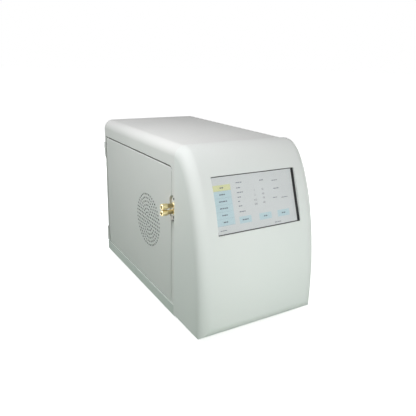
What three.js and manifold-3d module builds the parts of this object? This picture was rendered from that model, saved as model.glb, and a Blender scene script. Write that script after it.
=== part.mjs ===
// Bench-top total organic carbon analyzer, in millimetres with +Z up.
// The screen faces -Y, the service door is on -X, and the origin is on the floor under the
// middle of the overall box.
// Water enters and leaves by two brass ports beside the door. Inside, it passes a conductivity
// cell, an ultraviolet reactor, a second cell and a peristaltic pump.
import * as THREE from "three";
import { mergeVertices } from "three/addons/utils/BufferGeometryUtils.js";
import Module from "manifold-3d";

const wasm = await Module();
wasm.setup();

// Fits
const seatGap = 0.3; // between pieces that bear on each other
const overrun = 5; // how far a cutter runs past the face it opens
const weld = 0.5; // how far fused features sink into each other

// Casing
const bodyHeight = 360; // underside of the tray to the top of the hood
const footHeight = 6;
const hoodWidth = 274;
const hoodDepth = 409; // rear face to the seam behind the front moulding
const hoodCornerRadius = 22;
const sheet = 1.5;
const sillHeight = 24.5;
const sillProud = 2; // the tray's sills stand out past the hood
const sillLedge = 9;
const sillEdgeRadius = 1.2;
const bottomZ = footHeight;
const sillZ = bottomZ + sillHeight;
const hoodFootZ = sillZ + seatGap;
const topZ = bottomZ + bodyHeight;
const floorZ = bottomZ + sheet; // upper face of the tray's floor
const hoodSide = hoodWidth / 2;
const wallInside = hoodSide - sheet;

// Front moulding
const bezelWidth = 282;
const bezelProudTop = 2;
const bezelWall = 3;
const bezelEdgeRadius = 24;
const bezelFootRadius = 30; // where the face turns under
const bezelSoleRadius = 9; // lower edges at both sides
const bezelDepth = 115; // seam to the foremost point
const bezelBrowLength = 68; // reach of the curve's upper handle
const bezelShoulder = 1; // level stretch behind the curve
const bezelUprightZ = 31; // where the face becomes upright, above the underside
const faceCurveHalvings = 40;
const bezelBellyDrop = 171; // the curve's lower handle below the moulding's top
const bezelTopZ = topZ + bezelProudTop;
const frontDepth = hoodDepth + bezelDepth;
const bossRadius = 5;
const bossInset = 21;
const bossLowRise = 40;
const bossTopDrop = 52;

// Screen, drawn flat in its own tilted frame
const windowWidth = 197;
const windowHeight = 110;
const windowRadius = 2;
const screenSink = 4.5; // window centre behind the moulding's convex face
const screenDrop = 99; // window centre below the hood's top
const frameBorder = 10; // flat moulded frame behind the window's rim
const frameBack = 6;
const frameReach = 14;
const maskLip = 1.2;
const maskLipSink = 1;
const maskFlange = 1.2;
const glassBorder = 7.5;
const glassThickness = 1.8;
const panelBorder = 6.5;
const panelThickness = 8;
const displayBoardWidth = 150;
const displayBoardHeight = 88;
const boardThickness = 1.6;
const pillarHeight = 7;
const pillarRadius = 3;
const pillarInset = 6;
const screenZ = topZ - screenDrop;

// Service door
const doorHoodDrop = 41.4; // top of the hood down to the door opening
const doorTopGap = 3;
const doorSideGap = 2;
const pillarWidth = 20; // hood strip between the door and the seam
const doorCornerRadius = 8;
const doorReturn = 12; // depth of the door's folded edges
const rearStrip = 7.5;
const hingeGap = 3; // between the rear strip and the door's rear edge
const openingReturn = 10; // folded edges of the door opening
const topReturn = 25; // the opening's upper fold, which carries the catch
const doorRear = rearStrip + hingeGap;
const openingFront = hoodDepth - pillarWidth + doorSideGap;
const doorFront = hoodDepth - pillarWidth;
const openingTopZ = topZ - doorHoodDrop;
const doorTopZ = openingTopZ - doorTopGap;
const doorFootZ = sillZ + doorSideGap;

// Hinges
const hingeLeafThickness = 0.8;
const hingeLeafWidth = 11;
const hingeHeight = 40;
const hingeLowRise = 50; // lower hinge's centre above the underside
const hingeTopDrop = 77; // upper hinge's centre below the hood's top
const knuckleRadius = 2.6;
const knuckleBore = 1.5;
const pinRadius = 1.2;
const pinHeadRadius = 2.2;
const pinHeadHeight = 1;
const knuckleSides = 10;
const leafRootShare = 0.72; // of the knuckle radius, where the leaf meets the barrel
const hingeRises = [hingeLowRise, bodyHeight - hingeTopDrop];
const hingeAxisX = -hoodSide - knuckleRadius - seatGap;
const hingeAxisDepth = rearStrip + hingeGap / 2;

// Vent of round holes, and the fan behind it
const ventToPorts = 120; // vent centre behind the port recess
const ventRise = 172.5; // vent centre above the underside
const ventPitch = 8.3; // between rings
const ventRings = 7;
const ventHoleRadius = 2.15;
const ventHoleSides = 6;
const fanSize = 120;
const fanThickness = 25;
const fanBoreRadius = 57.5;
const fanCornerRadius = 6;
const fanHubRadius = 20;
const fanHubHeight = 17;
const fanBladeTip = 55.5;
const fanBladeCount = 7;
const fanBladeThickness = 1.6;
const fanBladeHeight = 15;
const fanBladePitch = THREE.MathUtils.degToRad(38);
const fanStatorRadius = 22;
const fanStatorHeight = 4;
const fanStrutWidth = 5;
const fanStruts = 4;
const fanScrewInset = 7.5; // screw holes' centres from the frame's edges
const fanScrewRadius = 2.2;
const fanScrewSpacing = fanSize - 2 * fanScrewInset;

// Port recess
const recessWidth = 26;
const recessHeight = 54;
const recessSetback = 15; // recess centre behind the seam
const recessDrop = 126; // recess centre below the hood's top
const portPlateWidth = 22;
const portPlateHeight = 49;
const portPlateThickness = 2;
const portPlateSink = 3.7; // plate face behind the hood's outer face
const tabThickness = 1.5;
const tabHeight = 40;
const tabReach = 19;
const portSpacing = 13;
const portHoleRadius = 4.6;
const portBore = 3.5;
const portShankRadius = 4.2;
const portShankLength = 12;
const portFlangeRadius = 5.7;
const portFlangeThickness = 2.4;
const portNeckRadius = 4.5;
const portNeckEnd = 12;
const portFlareEnd = 16;
const portCollarRadius = 5.9;
const portLength = 28;
const portChamfer = 1;
const portSides = 12;
const nutAcross = 11;
const nutThickness = 4;
const nutSides = 6;
const recessZ = topZ - recessDrop;
const ventDepth = hoodDepth - recessSetback - ventToPorts;

// Rear panel
const rearPanelInset = 1.5;
const rearFit = seatGap;
const slotWidth = 70;
const slotHeight = 3;
const slotPitch = 8;
const slotRows = 9;
const slotColumns = 2;
const slotColumnPitch = 96;
const slotFieldRise = 255;
const inletRise = 62;
const inletInset = 59; // inlet's centre from the hood's side
const inletBodyWidth = 28;
const inletBodyHeight = 20.5;
const inletBodyDepth = 24;
const inletFlangeWidth = 50;
const inletFlangeHeight = 25;
const inletFlangeThickness = 3;
const inletSocketWidth = 24;
const inletSocketHeight = 16;
const inletSocketDepth = 17;
const inletSocketChamfer = 4;
const inletBladeWidth = 2;
const inletBladeHeight = 4;
const inletBladeLength = 12;
const inletBladeSpacing = 7;
const inletBladeDrop = 2;
const inletEarthRise = 3.4;
const inletX = hoodSide - inletInset;
const switchToInlet = 50;
const switchX = inletX - switchToInlet;
const switchWidth = 22;
const switchHeight = 30;
const switchRim = 2.2; // border of the housing's flange
const switchRimThickness = 2;
const switchBodyDepth = 16;
const rockerWidth = 14;
const rockerHeight = 24;
const rockerCrown = 4.5;
const rockerPivotSink = 4;
const rockerThroat = 1.2;
const rockerTilt = THREE.MathUtils.degToRad(8);
const dataPortX = -60;
const dataPortRise = 62;
const dataPlateWidth = 31;
const dataPlateHeight = 12.5;
const dataPlateThickness = 1;
const dataShellWidth = 17;
const dataShellHeight = 8;
const dataShellSlope = 1.2;
const dataShellReach = 6;
const dataBodyDepth = 9;

// Inner plates
const chassisX = -22; // left face of the lengthwise plate
const chassisTopDrop = 32; // its top edge below the hood's top
const chassisTopZ = topZ - chassisTopDrop;
const chassisFoot = 16; // width of its foot flange
const wireHoleRadius = 9;
const bulkheadSetback = 4; // front of the cross plate behind the seam
const bulkheadOpeningWidth = 170;
const bulkheadOpeningHeight = 96;
const bulkheadFront = hoodDepth - bulkheadSetback;
const bulkheadRear = bulkheadFront - sheet;
const chassisFront = bulkheadRear - seatGap;
const chassisRear = rearPanelInset + sheet + seatGap;

// Peristaltic pump, on an axis along X
const pumpDepth = 318;
const pumpRise = 92;
const pumpBodyRadius = 30;
const pumpBodyDepth = 27;
const pumpBack = 4;
const pumpTrackRadius = 24;
const pumpShoulder = 26; // height of the straight sides above the axis
const pumpCoverThickness = 3;
const pumpShaftRadius = 3;
const pumpShaftHole = 4;
const rollerRadius = 6.3;
const rollerCentre = 15;
const rollerLength = 13;
const rollerBore = 2;
const rollerAxle = 1.6;
const rollerCount = 3;
const carrierRadius = 20;
const carrierThickness = 2.4;
const carrierHub = 7;
const rotorClearance = 1;
const hoseRadius = 2.4;
const hoseFlatThickness = 1.9;
const hoseFlatWidth = 7;
const hoseRoundRise = 9; // where the pressed hose becomes round again
const hoseLegTop = 42;
const hoseSlotWidth = 6.4;
const motorRadius = 18;
const motorLength = 58;
const gearboxRadius = 18.5;
const gearboxLength = 22;
const motorNeckRadius = 7;
const motorNeckLength = 5;
const motorShaftDepth = 16;

// Ultraviolet reactor, along the depth
const reactorRadius = 26;
const reactorLength = 210;
const reactorWall = 1.5;
const lampRadius = 7.5;
const lampEndRadius = 9;
const lampEndLength = 18;
const reactorStart = 86;
const reactorDrop = 74; // axis below the hood's top
const reactorOffset = 36; // axis from the chassis plate
const reactorCapRadius = 30;
const reactorCapLength = 16;
const reactorCapStep = 5;
const reactorPortRadius = 4;
const reactorPortLength = 9;
const reactorPortBore = 1.6;
const lampSocketRadius = 11;
const lampSocketLength = 14;
const clampWidth = 14;
const clampThickness = 2;
const clampInset = 40;
const clampFootReach = 14;
const reactorZ = topZ - reactorDrop;

// Conductivity cells
const cellRise = 92;
const cellInDepth = 172;
const cellOutDepth = 112;
const cellBlockSize = 26;
const cellBlockHeight = 34;
const cellProbeRadius = 8;
const cellProbeLength = 30;
const cellNutRadius = 10.5;
const cellNutHeight = 8;
const cellCableRadius = 2.5;
const cellCableLength = 8;
const cellSpigotRadius = 3;
const cellSpigotLength = 7;
const cellBracketGap = 10;
const cellBracketHeight = 30;

// Electronics on the right of the chassis plate
const supplyWidth = 98;
const supplyDepth = 159;
const supplyHeight = 38;
const supplyWallGap = 18.5;
const supplyStart = 46;
const supplyFoot = 4;
const supplySlots = 9;
const supplySlotPitch = 13;
const supplySlotWidth = 3;
const supplyX = wallInside - supplyWallGap - supplyWidth / 2;
const ballastWidth = 40;
const ballastDepth = 120;
const ballastHeight = 28;
const ballastWallGap = 23.5;
const ballastStart = 230;
const ballastEarLength = 9;
const ballastEarThickness = 2;
const ballastX = wallInside - ballastWallGap - ballastWidth / 2;
const controlBoardStart = 110;
const controlBoardLength = 190;
const controlBoardDrop = 170; // lower edge below the hood's top
const controlBoardHeight = 120;
const standoffLength = 8;
const chipHeightLow = 4;
const chipHeightTall = 14;
const ribbonWidth = 16;
const ribbonThickness = 1;
const ribbonX = -10;
const ribbonDrop = 20; // below the display board's centre

// Feet and the door's magnetic catch
const footTopRadius = 11;
const footBottomRadius = 9;
const footInset = 34;
const catchSetback = 14;
const catchLength = 40;
const catchHeight = 14;
const catchDepth = 11;
const catchRelief = 2;
const catchCheek = 6;

// Tubing
const tubeRadius = 2;
const tubeSides = 8;
const tubeSteps = 10;
const reachShort = 30;
const reachMiddle = 50;
const reachLong = 200;

// Finishes
const paint = { color: 0xdfe1df, roughness: 0.48, metalness: 0.0 };
const paintTray = { color: 0xd3d8d5, roughness: 0.5, metalness: 0.0 };
const mouldedWhite = { color: 0xe2e4e2, roughness: 0.42, metalness: 0.0 };
const zincSheet = { color: 0xb9bdbe, roughness: 0.45, metalness: 0.8 };
const steel = { color: 0xc4c6c6, roughness: 0.3, metalness: 0.95 };
const brass = { color: 0xcdb676, roughness: 0.32, metalness: 0.95 };
const blackPlastic = { color: 0x18191a, roughness: 0.5, metalness: 0.0 };
const greyPlastic = { color: 0x5b6063, roughness: 0.55, metalness: 0.0 };
const rubberBlack = { color: 0x1d1d1d, roughness: 0.85, metalness: 0.0 };
const glassDark = { color: 0xc7cfd0, roughness: 0.08, metalness: 0.0 };
const boardGreen = { color: 0x1f6a43, roughness: 0.5, metalness: 0.0 };
const clearPlastic = { color: 0xd8e2e4, roughness: 0.12, metalness: 0.0 };
const fluoroWhite = { color: 0xe9ecea, roughness: 0.35, metalness: 0.0 };
const siliconeHose = { color: 0xdad6c8, roughness: 0.4, metalness: 0.0 };
const ribbonGrey = { color: 0x9a9ea2, roughness: 0.6, metalness: 0.0 };

// Solid from any closed geometry: vertices shared, collapsed triangles dropped, faces outward.
function solidOf(geometry) {
  const bare = geometry.clone();
  bare.deleteAttribute("normal");
  bare.deleteAttribute("uv");
  const merged = mergeVertices(bare);
  const kept = [];
  const index = merged.index.array;
  for (let i = 0; i < index.length; i += 3) {
    const [a, b, c] = [index[i], index[i + 1], index[i + 2]];
    if (a !== b && b !== c && c !== a) kept.push(a, b, c);
  }
  const build = (triVerts) =>
    new wasm.Manifold(
      new wasm.Mesh({ numProp: 3, vertProperties: merged.attributes.position.array, triVerts }),
    );
  const made = build(new Uint32Array(kept));
  if (made.volume() > 0) return made;
  for (let i = 0; i < kept.length; i += 3) [kept[i], kept[i + 1]] = [kept[i + 1], kept[i]];
  return build(new Uint32Array(kept));
}

function geometryOf(made) {
  const mesh = made.getMesh();
  const places = new Float32Array(mesh.numVert * 3);
  for (let i = 0; i < mesh.numVert; i++)
    places.set(mesh.vertProperties.subarray(i * mesh.numProp, i * mesh.numProp + 3), i * 3);
  const geometry = new THREE.BufferGeometry();
  geometry.setAttribute("position", new THREE.BufferAttribute(places, 3));
  geometry.setIndex(new THREE.BufferAttribute(new Uint32Array(mesh.triVerts), 1));
  return geometry;
}

const join = (first, ...others) => others.reduce((sum, next) => sum.add(next), first);
const cut = (base, ...tools) => tools.reduce((left, tool) => left.subtract(tool), base);

// A place in the casing: across, forward from the rear face, and up from the floor.
const at = (x, depth, z) => new THREE.Vector3(x, -depth, z);

// Box between two places given as ranges across, forward and up.
function block([x0, x1], [d0, d1], [z0, z1]) {
  const geometry = new THREE.BoxGeometry(x1 - x0, d1 - d0, z1 - z0);
  return solidOf(geometry.translate((x0 + x1) / 2, -(d0 + d1) / 2, (z0 + z1) / 2));
}

function prism(shape, length, right, up, origin, curveSegments = 6) {
  const geometry = new THREE.ExtrudeGeometry(shape, {
    depth: length,
    bevelEnabled: false,
    curveSegments,
  });
  const out = right.clone().cross(up);
  geometry.applyMatrix4(new THREE.Matrix4().makeBasis(right, up, out).setPosition(origin));
  return solidOf(geometry);
}

const across = new THREE.Vector3(1, 0, 0);
const forward = new THREE.Vector3(0, -1, 0);
const backward = new THREE.Vector3(0, 1, 0);
const upward = new THREE.Vector3(0, 0, 1);

// Prisms of an outline: drawn from the side (forward, up) or from the front (across, up).
const alongX = (shape, x0, x1, curveSegments) =>
  prism(shape, x1 - x0, forward, upward, new THREE.Vector3(x1, 0, 0), curveSegments);
const alongDepth = (shape, d0, d1, curveSegments) =>
  prism(shape, d1 - d0, across, upward, new THREE.Vector3(0, -d0, 0), curveSegments);

// Round bar from one place to another.
function rod(start, end, radius, sides = 16) {
  const run = end.clone().sub(start);
  const geometry = new THREE.CylinderGeometry(radius, radius, run.length(), sides);
  const turn = new THREE.Quaternion().setFromUnitVectors(
    new THREE.Vector3(0, 1, 0),
    run.clone().normalize(),
  );
  geometry.applyQuaternion(turn);
  const middle = start.clone().add(end).multiplyScalar(1 / 2);
  return solidOf(geometry.translate(middle.x, middle.y, middle.z));
}

// Turned piece: profile rows are [radius, distance along the axis from the origin].
function turned(rows, origin, direction, sides = 20) {
  const points = rows.map(([radius, along]) => new THREE.Vector2(radius, along));
  const geometry = new THREE.LatheGeometry(points, sides);
  geometry.applyQuaternion(
    new THREE.Quaternion().setFromUnitVectors(new THREE.Vector3(0, 1, 0), direction),
  );
  return solidOf(geometry.translate(origin.x, origin.y, origin.z));
}

function polygonShape(points) {
  return new THREE.Shape(points.map(([a, b]) => new THREE.Vector2(a, b)));
}

function regularShape(radius, sides, a = 0, b = 0, turn = 0) {
  const points = [];
  for (let i = 0; i < sides; i++) {
    const angle = turn + (i * 2 * Math.PI) / sides;
    points.push([a + radius * Math.cos(angle), b + radius * Math.sin(angle)]);
  }
  return polygonShape(points);
}

// Rectangle with rounded corners about a centre; a radius of half its width makes an obround.
function roundedShape(width, height, radius, a = 0, b = 0) {
  const [w, h] = [width / 2, height / 2];
  const shape = new THREE.Shape();
  shape.moveTo(a - w + radius, b - h);
  shape.lineTo(a + w - radius, b - h);
  shape.absarc(a + w - radius, b - h + radius, radius, -Math.PI / 2, 0);
  shape.lineTo(a + w, b + h - radius);
  shape.absarc(a + w - radius, b + h - radius, radius, 0, Math.PI / 2);
  shape.lineTo(a - w + radius, b + h);
  shape.absarc(a - w + radius, b + h - radius, radius, Math.PI / 2, Math.PI);
  shape.lineTo(a - w, b - h + radius);
  shape.absarc(a - w + radius, b - h + radius, radius, Math.PI, (3 * Math.PI) / 2);
  return shape;
}

const analyzer = new THREE.Group();
const casing = new THREE.Group();
analyzer.add(casing);

// Adds one named mesh; a group's pieces are drawn in the casing and moved into its frame.
function addPiece(name, made, finish, group = casing) {
  const geometry = geometryOf(made).translate(
    -group.position.x,
    -group.position.y,
    -group.position.z,
  );
  const mesh = new THREE.Mesh(geometry, new THREE.MeshStandardMaterial(finish));
  mesh.name = name;
  group.add(mesh);
  return mesh;
}

function addGroup(place) {
  const group = new THREE.Group();
  group.position.copy(place);
  casing.add(group);
  return group;
}

// The casing's cross-section as an arch, from the feet of its side walls over the top.
function archShape(inset, footZ) {
  const side = hoodSide - inset;
  const top = topZ - inset;
  const radius = hoodCornerRadius - inset;
  const shape = new THREE.Shape();
  shape.moveTo(-side, footZ);
  shape.lineTo(side, footZ);
  shape.lineTo(side, top - radius);
  shape.absarc(side - radius, top - radius, radius, 0, Math.PI / 2);
  shape.lineTo(-side + radius, top);
  shape.absarc(-side + radius, top - radius, radius, Math.PI / 2, Math.PI);
  return shape;
}

// Base tray: a folded floor whose sides rise as sills and turn in as ledges for the hood.
function baseTray() {
  const side = hoodSide + sillProud;
  const shape = new THREE.Shape();
  shape.moveTo(-side, bottomZ);
  shape.lineTo(side, bottomZ);
  shape.lineTo(side, sillZ - sillEdgeRadius);
  shape.absarc(side - sillEdgeRadius, sillZ - sillEdgeRadius, sillEdgeRadius, 0, Math.PI / 2);
  shape.lineTo(side - sillLedge, sillZ);
  shape.lineTo(side - sillLedge, sillZ - sheet);
  shape.lineTo(side - sheet, sillZ - sheet);
  shape.lineTo(side - sheet, floorZ);
  shape.lineTo(-side + sheet, floorZ);
  shape.lineTo(-side + sheet, sillZ - sheet);
  shape.lineTo(-side + sillLedge, sillZ - sheet);
  shape.lineTo(-side + sillLedge, sillZ);
  shape.lineTo(-side + sillEdgeRadius, sillZ);
  shape.absarc(-side + sillEdgeRadius, sillZ - sillEdgeRadius, sillEdgeRadius, Math.PI / 2, Math.PI);
  return alongDepth(shape, 0, hoodDepth - seatGap, 3);
}

// Door outline from the side; a larger inset draws the inside of its folded edges.
function doorShape(inset) {
  const rear = doorRear + inset;
  const front = doorFront - inset;
  const low = doorFootZ + inset;
  const high = doorTopZ - inset;
  const radius = Math.max(doorCornerRadius - inset, inset);
  const shape = new THREE.Shape();
  shape.moveTo(rear, low);
  shape.lineTo(front, low);
  shape.lineTo(front, high - radius);
  shape.absarc(front - radius, high - radius, radius, 0, Math.PI / 2);
  shape.lineTo(rear, high);
  return shape;
}

const recessDepth = hoodDepth - recessSetback;
const recessShape = (grow) =>
  roundedShape(
    recessWidth + 2 * grow,
    recessHeight + 2 * grow,
    recessWidth / 2 + grow,
    recessDepth,
    recessZ,
  );

// Hood: an arch of sheet with the door opening and its folded edges on the left.
function hood() {
  const outer = alongDepth(archShape(0, hoodFootZ), 0, hoodDepth, 6);
  const inner = alongDepth(archShape(sheet, hoodFootZ - overrun), -overrun, hoodDepth + overrun, 6);
  const radius = doorCornerRadius + doorSideGap;
  const opening = new THREE.Shape();
  opening.moveTo(rearStrip, hoodFootZ - overrun);
  opening.lineTo(openingFront, hoodFootZ - overrun);
  opening.lineTo(openingFront, openingTopZ - radius);
  opening.absarc(openingFront - radius, openingTopZ - radius, radius, 0, Math.PI / 2);
  opening.lineTo(rearStrip, openingTopZ);
  const returns = [-wallInside - weld, -wallInside + openingReturn];
  const topFold = [-wallInside - weld, -wallInside + topReturn];
  const folds = join(
    block(topFold, [rearStrip - sheet, openingFront + sheet], [openingTopZ, openingTopZ + sheet]),
    block(returns, [openingFront, openingFront + sheet], [hoodFootZ, openingTopZ + sheet]),
    block(returns, [rearStrip - sheet, rearStrip], [hoodFootZ, openingTopZ + sheet]),
  );
  return cut(
    join(cut(outer, inner, alongX(opening, -hoodSide - overrun, -wallInside + overrun)), folds),
    alongX(recessShape(0), -hoodSide - overrun, -wallInside + openingReturn + overrun, 8),
  );
}

// Side view of the moulding's face: upright at the foot, a long convex curve, level at the seam.
const faceStart = hoodDepth + bezelShoulder;
const faceFootZ = bottomZ + bezelUprightZ;
const faceCurve = new THREE.CubicBezierCurve(
  new THREE.Vector2(frontDepth, faceFootZ),
  new THREE.Vector2(frontDepth, bezelTopZ - bezelBellyDrop),
  new THREE.Vector2(faceStart + bezelBrowLength, bezelTopZ),
  new THREE.Vector2(faceStart, bezelTopZ),
);

// Depth of the face at a height, found by halving the stretch of curve that holds it.
function faceDepthAt(z) {
  let [low, high] = [0, 1];
  for (let step = 0; step < faceCurveHalvings; step++) {
    const middle = (low + high) / 2;
    if (faceCurve.getPoint(middle).y < z) low = middle;
    else high = middle;
  }
  return faceCurve.getPoint(low).x;
}

// Outline that the moulding's rounded body is swept from.
function bezelProfile() {
  const behind = hoodDepth - bezelEdgeRadius - overrun;
  const below = bottomZ - bezelEdgeRadius - overrun;
  const shape = new THREE.Shape();
  shape.moveTo(behind, below);
  shape.lineTo(frontDepth, below);
  shape.lineTo(frontDepth, faceFootZ);
  const { v1: belly, v2: brow, v3: top } = faceCurve;
  shape.bezierCurveTo(belly.x, belly.y, brow.x, brow.y, top.x, top.y);
  shape.lineTo(behind, bezelTopZ);
  return shape;
}

// The moulding's rounded body, shrunk all over by an inset and kept between seam and foot.
function bezelBody(inset, rearDepth) {
  const radius = bezelEdgeRadius - inset;
  const half = bezelWidth / 2 - inset;
  const geometry = new THREE.ExtrudeGeometry(bezelProfile(), {
    depth: 2 * (half - radius),
    bevelEnabled: true,
    bevelThickness: radius,
    bevelSize: radius,
    bevelOffset: -radius - inset,
    bevelSegments: 3,
    curveSegments: 12,
  });
  geometry.applyMatrix4(
    new THREE.Matrix4()
      .makeBasis(forward, upward, forward.clone().cross(upward))
      .setPosition(half - radius, 0, 0),
  );
  const low = bottomZ + inset;
  const front = frontDepth - inset;
  const foot = bezelFootRadius - inset;
  const limit = new THREE.Shape();
  limit.moveTo(rearDepth, low);
  limit.lineTo(front - foot, low);
  limit.absarc(front - foot, low + foot, foot, -Math.PI / 2, 0);
  limit.lineTo(front, bezelTopZ + overrun);
  limit.lineTo(rearDepth, bezelTopZ + overrun);
  const sole = bezelSoleRadius - inset;
  const across = new THREE.Shape();
  across.moveTo(half - sole, low);
  across.absarc(half - sole, low + sole, sole, -Math.PI / 2, 0);
  across.lineTo(half, bezelTopZ + overrun);
  across.lineTo(-half, bezelTopZ + overrun);
  across.absarc(-half + sole, low + sole, sole, Math.PI, 1.5 * Math.PI);
  return solidOf(geometry)
    .intersect(alongX(limit, -bezelWidth, bezelWidth, 6))
    .intersect(alongDepth(across, rearDepth - overrun, front + overrun, 3));
}

// The screen's frame: x across, y up the panel, z out of its face. The panel leans back as the
// face does between the window's lower and upper edge.
const screenPlace = at(0, faceDepthAt(screenZ) - screenSink, screenZ);
const faceFall = faceDepthAt(screenZ - windowHeight / 2) - faceDepthAt(screenZ + windowHeight / 2);
const screenTurn = Math.atan2(windowHeight, faceFall);
function ontoScreen(made) {
  const matrix = new THREE.Matrix4().makeRotationX(screenTurn).setPosition(screenPlace);
  return solidOf(geometryOf(made).applyMatrix4(matrix));
}
function plateOnScreen(width, height, radius, zLow, zHigh) {
  const geometry = new THREE.ExtrudeGeometry(roundedShape(width, height, radius), {
    depth: zHigh - zLow,
    bevelEnabled: false,
    curveSegments: 3,
  });
  return solidOf(geometry.translate(0, 0, zLow));
}

// Front moulding: a shell open at the seam, with a flat frame and window for the screen.
function frontBezel() {
  const body = bezelBody(0, hoodDepth + seatGap);
  const hollow = bezelBody(bezelWall, hoodDepth - overrun);
  const border = 2 * frameBorder;
  const frame = plateOnScreen(
    windowWidth + border,
    windowHeight + border,
    windowRadius + frameBorder / 2,
    -frameBack,
    frameReach,
  );
  const window = plateOnScreen(
    windowWidth,
    windowHeight,
    windowRadius,
    -frameBack - overrun,
    frameReach + overrun,
  );
  const bosses = [];
  for (const side of [-1, 1])
    for (const z of [bottomZ + bossLowRise, topZ - bossTopDrop]) {
      const x = side * (hoodSide - bossInset);
      const start = at(x, bulkheadFront + seatGap, z);
      bosses.push(rod(start, at(x, frontDepth, z), bossRadius, 12));
    }
  const solidBody = bezelBody(0, bulkheadFront + seatGap);
  const inside = join(ontoScreen(frame), ...bosses).intersect(solidBody);
  return cut(join(cut(body, hollow), inside), ontoScreen(window));
}

// Mask: a black lining that stands in the window with a flange behind the moulded frame.
function screenMask() {
  const lipWidth = windowWidth - 2 * seatGap;
  const lipHeight = windowHeight - 2 * seatGap;
  const flangeFront = -frameBack - seatGap;
  const back = flangeFront - maskFlange;
  const border = 2 * (frameBorder - maskLip);
  const flange = plateOnScreen(
    windowWidth + border,
    windowHeight + border,
    windowRadius,
    back,
    flangeFront,
  );
  const lip = plateOnScreen(lipWidth, lipHeight, windowRadius, back, -maskLipSink);
  const view = plateOnScreen(
    lipWidth - 2 * maskLip,
    lipHeight - 2 * maskLip,
    maskLip,
    back - overrun,
    overrun,
  );
  return cut(join(flange, lip), view);
}

const glassFront = -frameBack - seatGap - maskFlange - seatGap;
const panelFront = glassFront - glassThickness - seatGap;
const panelBack = panelFront - panelThickness;

const screenPlate = (border, front, thickness) =>
  plateOnScreen(
    windowWidth + 2 * border,
    windowHeight + 2 * border,
    windowRadius,
    front - thickness,
    front,
  );

// A board on four pillars, drawn flat with the pillars on its +z side, and its larger parts.
function board(width, height, front, pillars, parts) {
  const shape = roundedShape(width, height, pillarRadius);
  const plate = solidOf(
    new THREE.ExtrudeGeometry(shape, {
      depth: boardThickness,
      bevelEnabled: false,
      curveSegments: 2,
    }).translate(0, 0, front - pillars - boardThickness),
  );
  const [x, y] = [width / 2 - pillarInset, height / 2 - pillarInset];
  const posts = [-1, 1].flatMap((a) =>
    [-1, 1].map((b) =>
      rod(
        new THREE.Vector3(a * x, b * y, front - pillars - weld),
        new THREE.Vector3(a * x, b * y, front),
        pillarRadius,
        6,
      ),
    ),
  );
  const back = front - pillars - boardThickness;
  const lumps = parts.map(([shareX, shareY, shareWide, shareTall, rise]) => {
    const geometry = new THREE.BoxGeometry(shareWide * width, shareTall * height, rise + weld);
    return solidOf(geometry.translate(shareX * width, shareY * height, back + weld - (rise + weld) / 2));
  });
  return join(plate, ...posts, ...lumps);
}

const displayPartShares = [
  [-0.3, 0.1, 0.2, 0.3, chipHeightLow],
  [0.15, 0.2, 0.16, 0.22, chipHeightLow],
  [0.3, -0.28, 0.2, 0.14, chipHeightTall],
];
const controlPartShares = [
  [-0.32, 0.22, 0.16, 0.24, chipHeightLow],
  [0.02, 0.1, 0.14, 0.2, chipHeightLow],
  [0.34, 0.3, 0.1, 0.2, chipHeightTall],
  [-0.1, -0.36, 0.4, 0.1, chipHeightTall],
  [0.3, -0.26, 0.14, 0.16, chipHeightTall],
];

function addScreen() {
  const group = addGroup(screenPlace);
  group.rotation.x = screenTurn;
  const flat = (name, made, finish) => {
    const mesh = new THREE.Mesh(geometryOf(made), new THREE.MeshStandardMaterial(finish));
    mesh.name = name;
    group.add(mesh);
  };
  flat("screen_mask", screenMask(), blackPlastic);
  flat("touch_glass", screenPlate(glassBorder, glassFront, glassThickness), glassDark);
  flat("lcd_module", screenPlate(panelBorder, panelFront, panelThickness), steel);
  flat(
    "display_board",
    board(
      displayBoardWidth,
      displayBoardHeight,
      panelBack - seatGap,
      pillarHeight,
      displayPartShares,
    ),
    boardGreen,
  );
}

// Vent: rings of holes whose count grows by six from ring to ring.
function ventHoles() {
  const holes = [[ventDepth, bottomZ + ventRise]];
  for (let ring = 1; ring <= ventRings; ring++)
    for (let i = 0; i < 6 * ring; i++) {
      const angle = (i * 2 * Math.PI) / (6 * ring);
      holes.push([
        ventDepth + ring * ventPitch * Math.cos(angle),
        bottomZ + ventRise + ring * ventPitch * Math.sin(angle),
      ]);
    }
  return holes.map(([d, z]) => regularShape(ventHoleRadius, ventHoleSides, d, z, Math.PI / 6));
}

// Door: a folded pan with the vent in its face and a bite in its front edge for the ports.
function sideDoor() {
  const face = doorShape(0);
  face.holes = ventHoles();
  const rimOuter = alongX(doorShape(0), -hoodSide, -hoodSide + doorReturn);
  const rimInner = alongX(
    doorShape(sheet),
    -hoodSide - overrun,
    -hoodSide + doorReturn + overrun,
  );
  const pan = join(alongX(face, -hoodSide, -wallInside), cut(rimOuter, rimInner));
  const bite = alongX(recessShape(0), -hoodSide - overrun, -hoodSide + doorReturn + overrun, 8);
  const biteRim = alongX(recessShape(sheet), -hoodSide, -hoodSide + doorReturn, 8);
  const reach = alongX(doorShape(0), -hoodSide, -hoodSide + doorReturn);
  return cut(join(pan, biteRim.intersect(reach)), bite);
}

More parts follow.
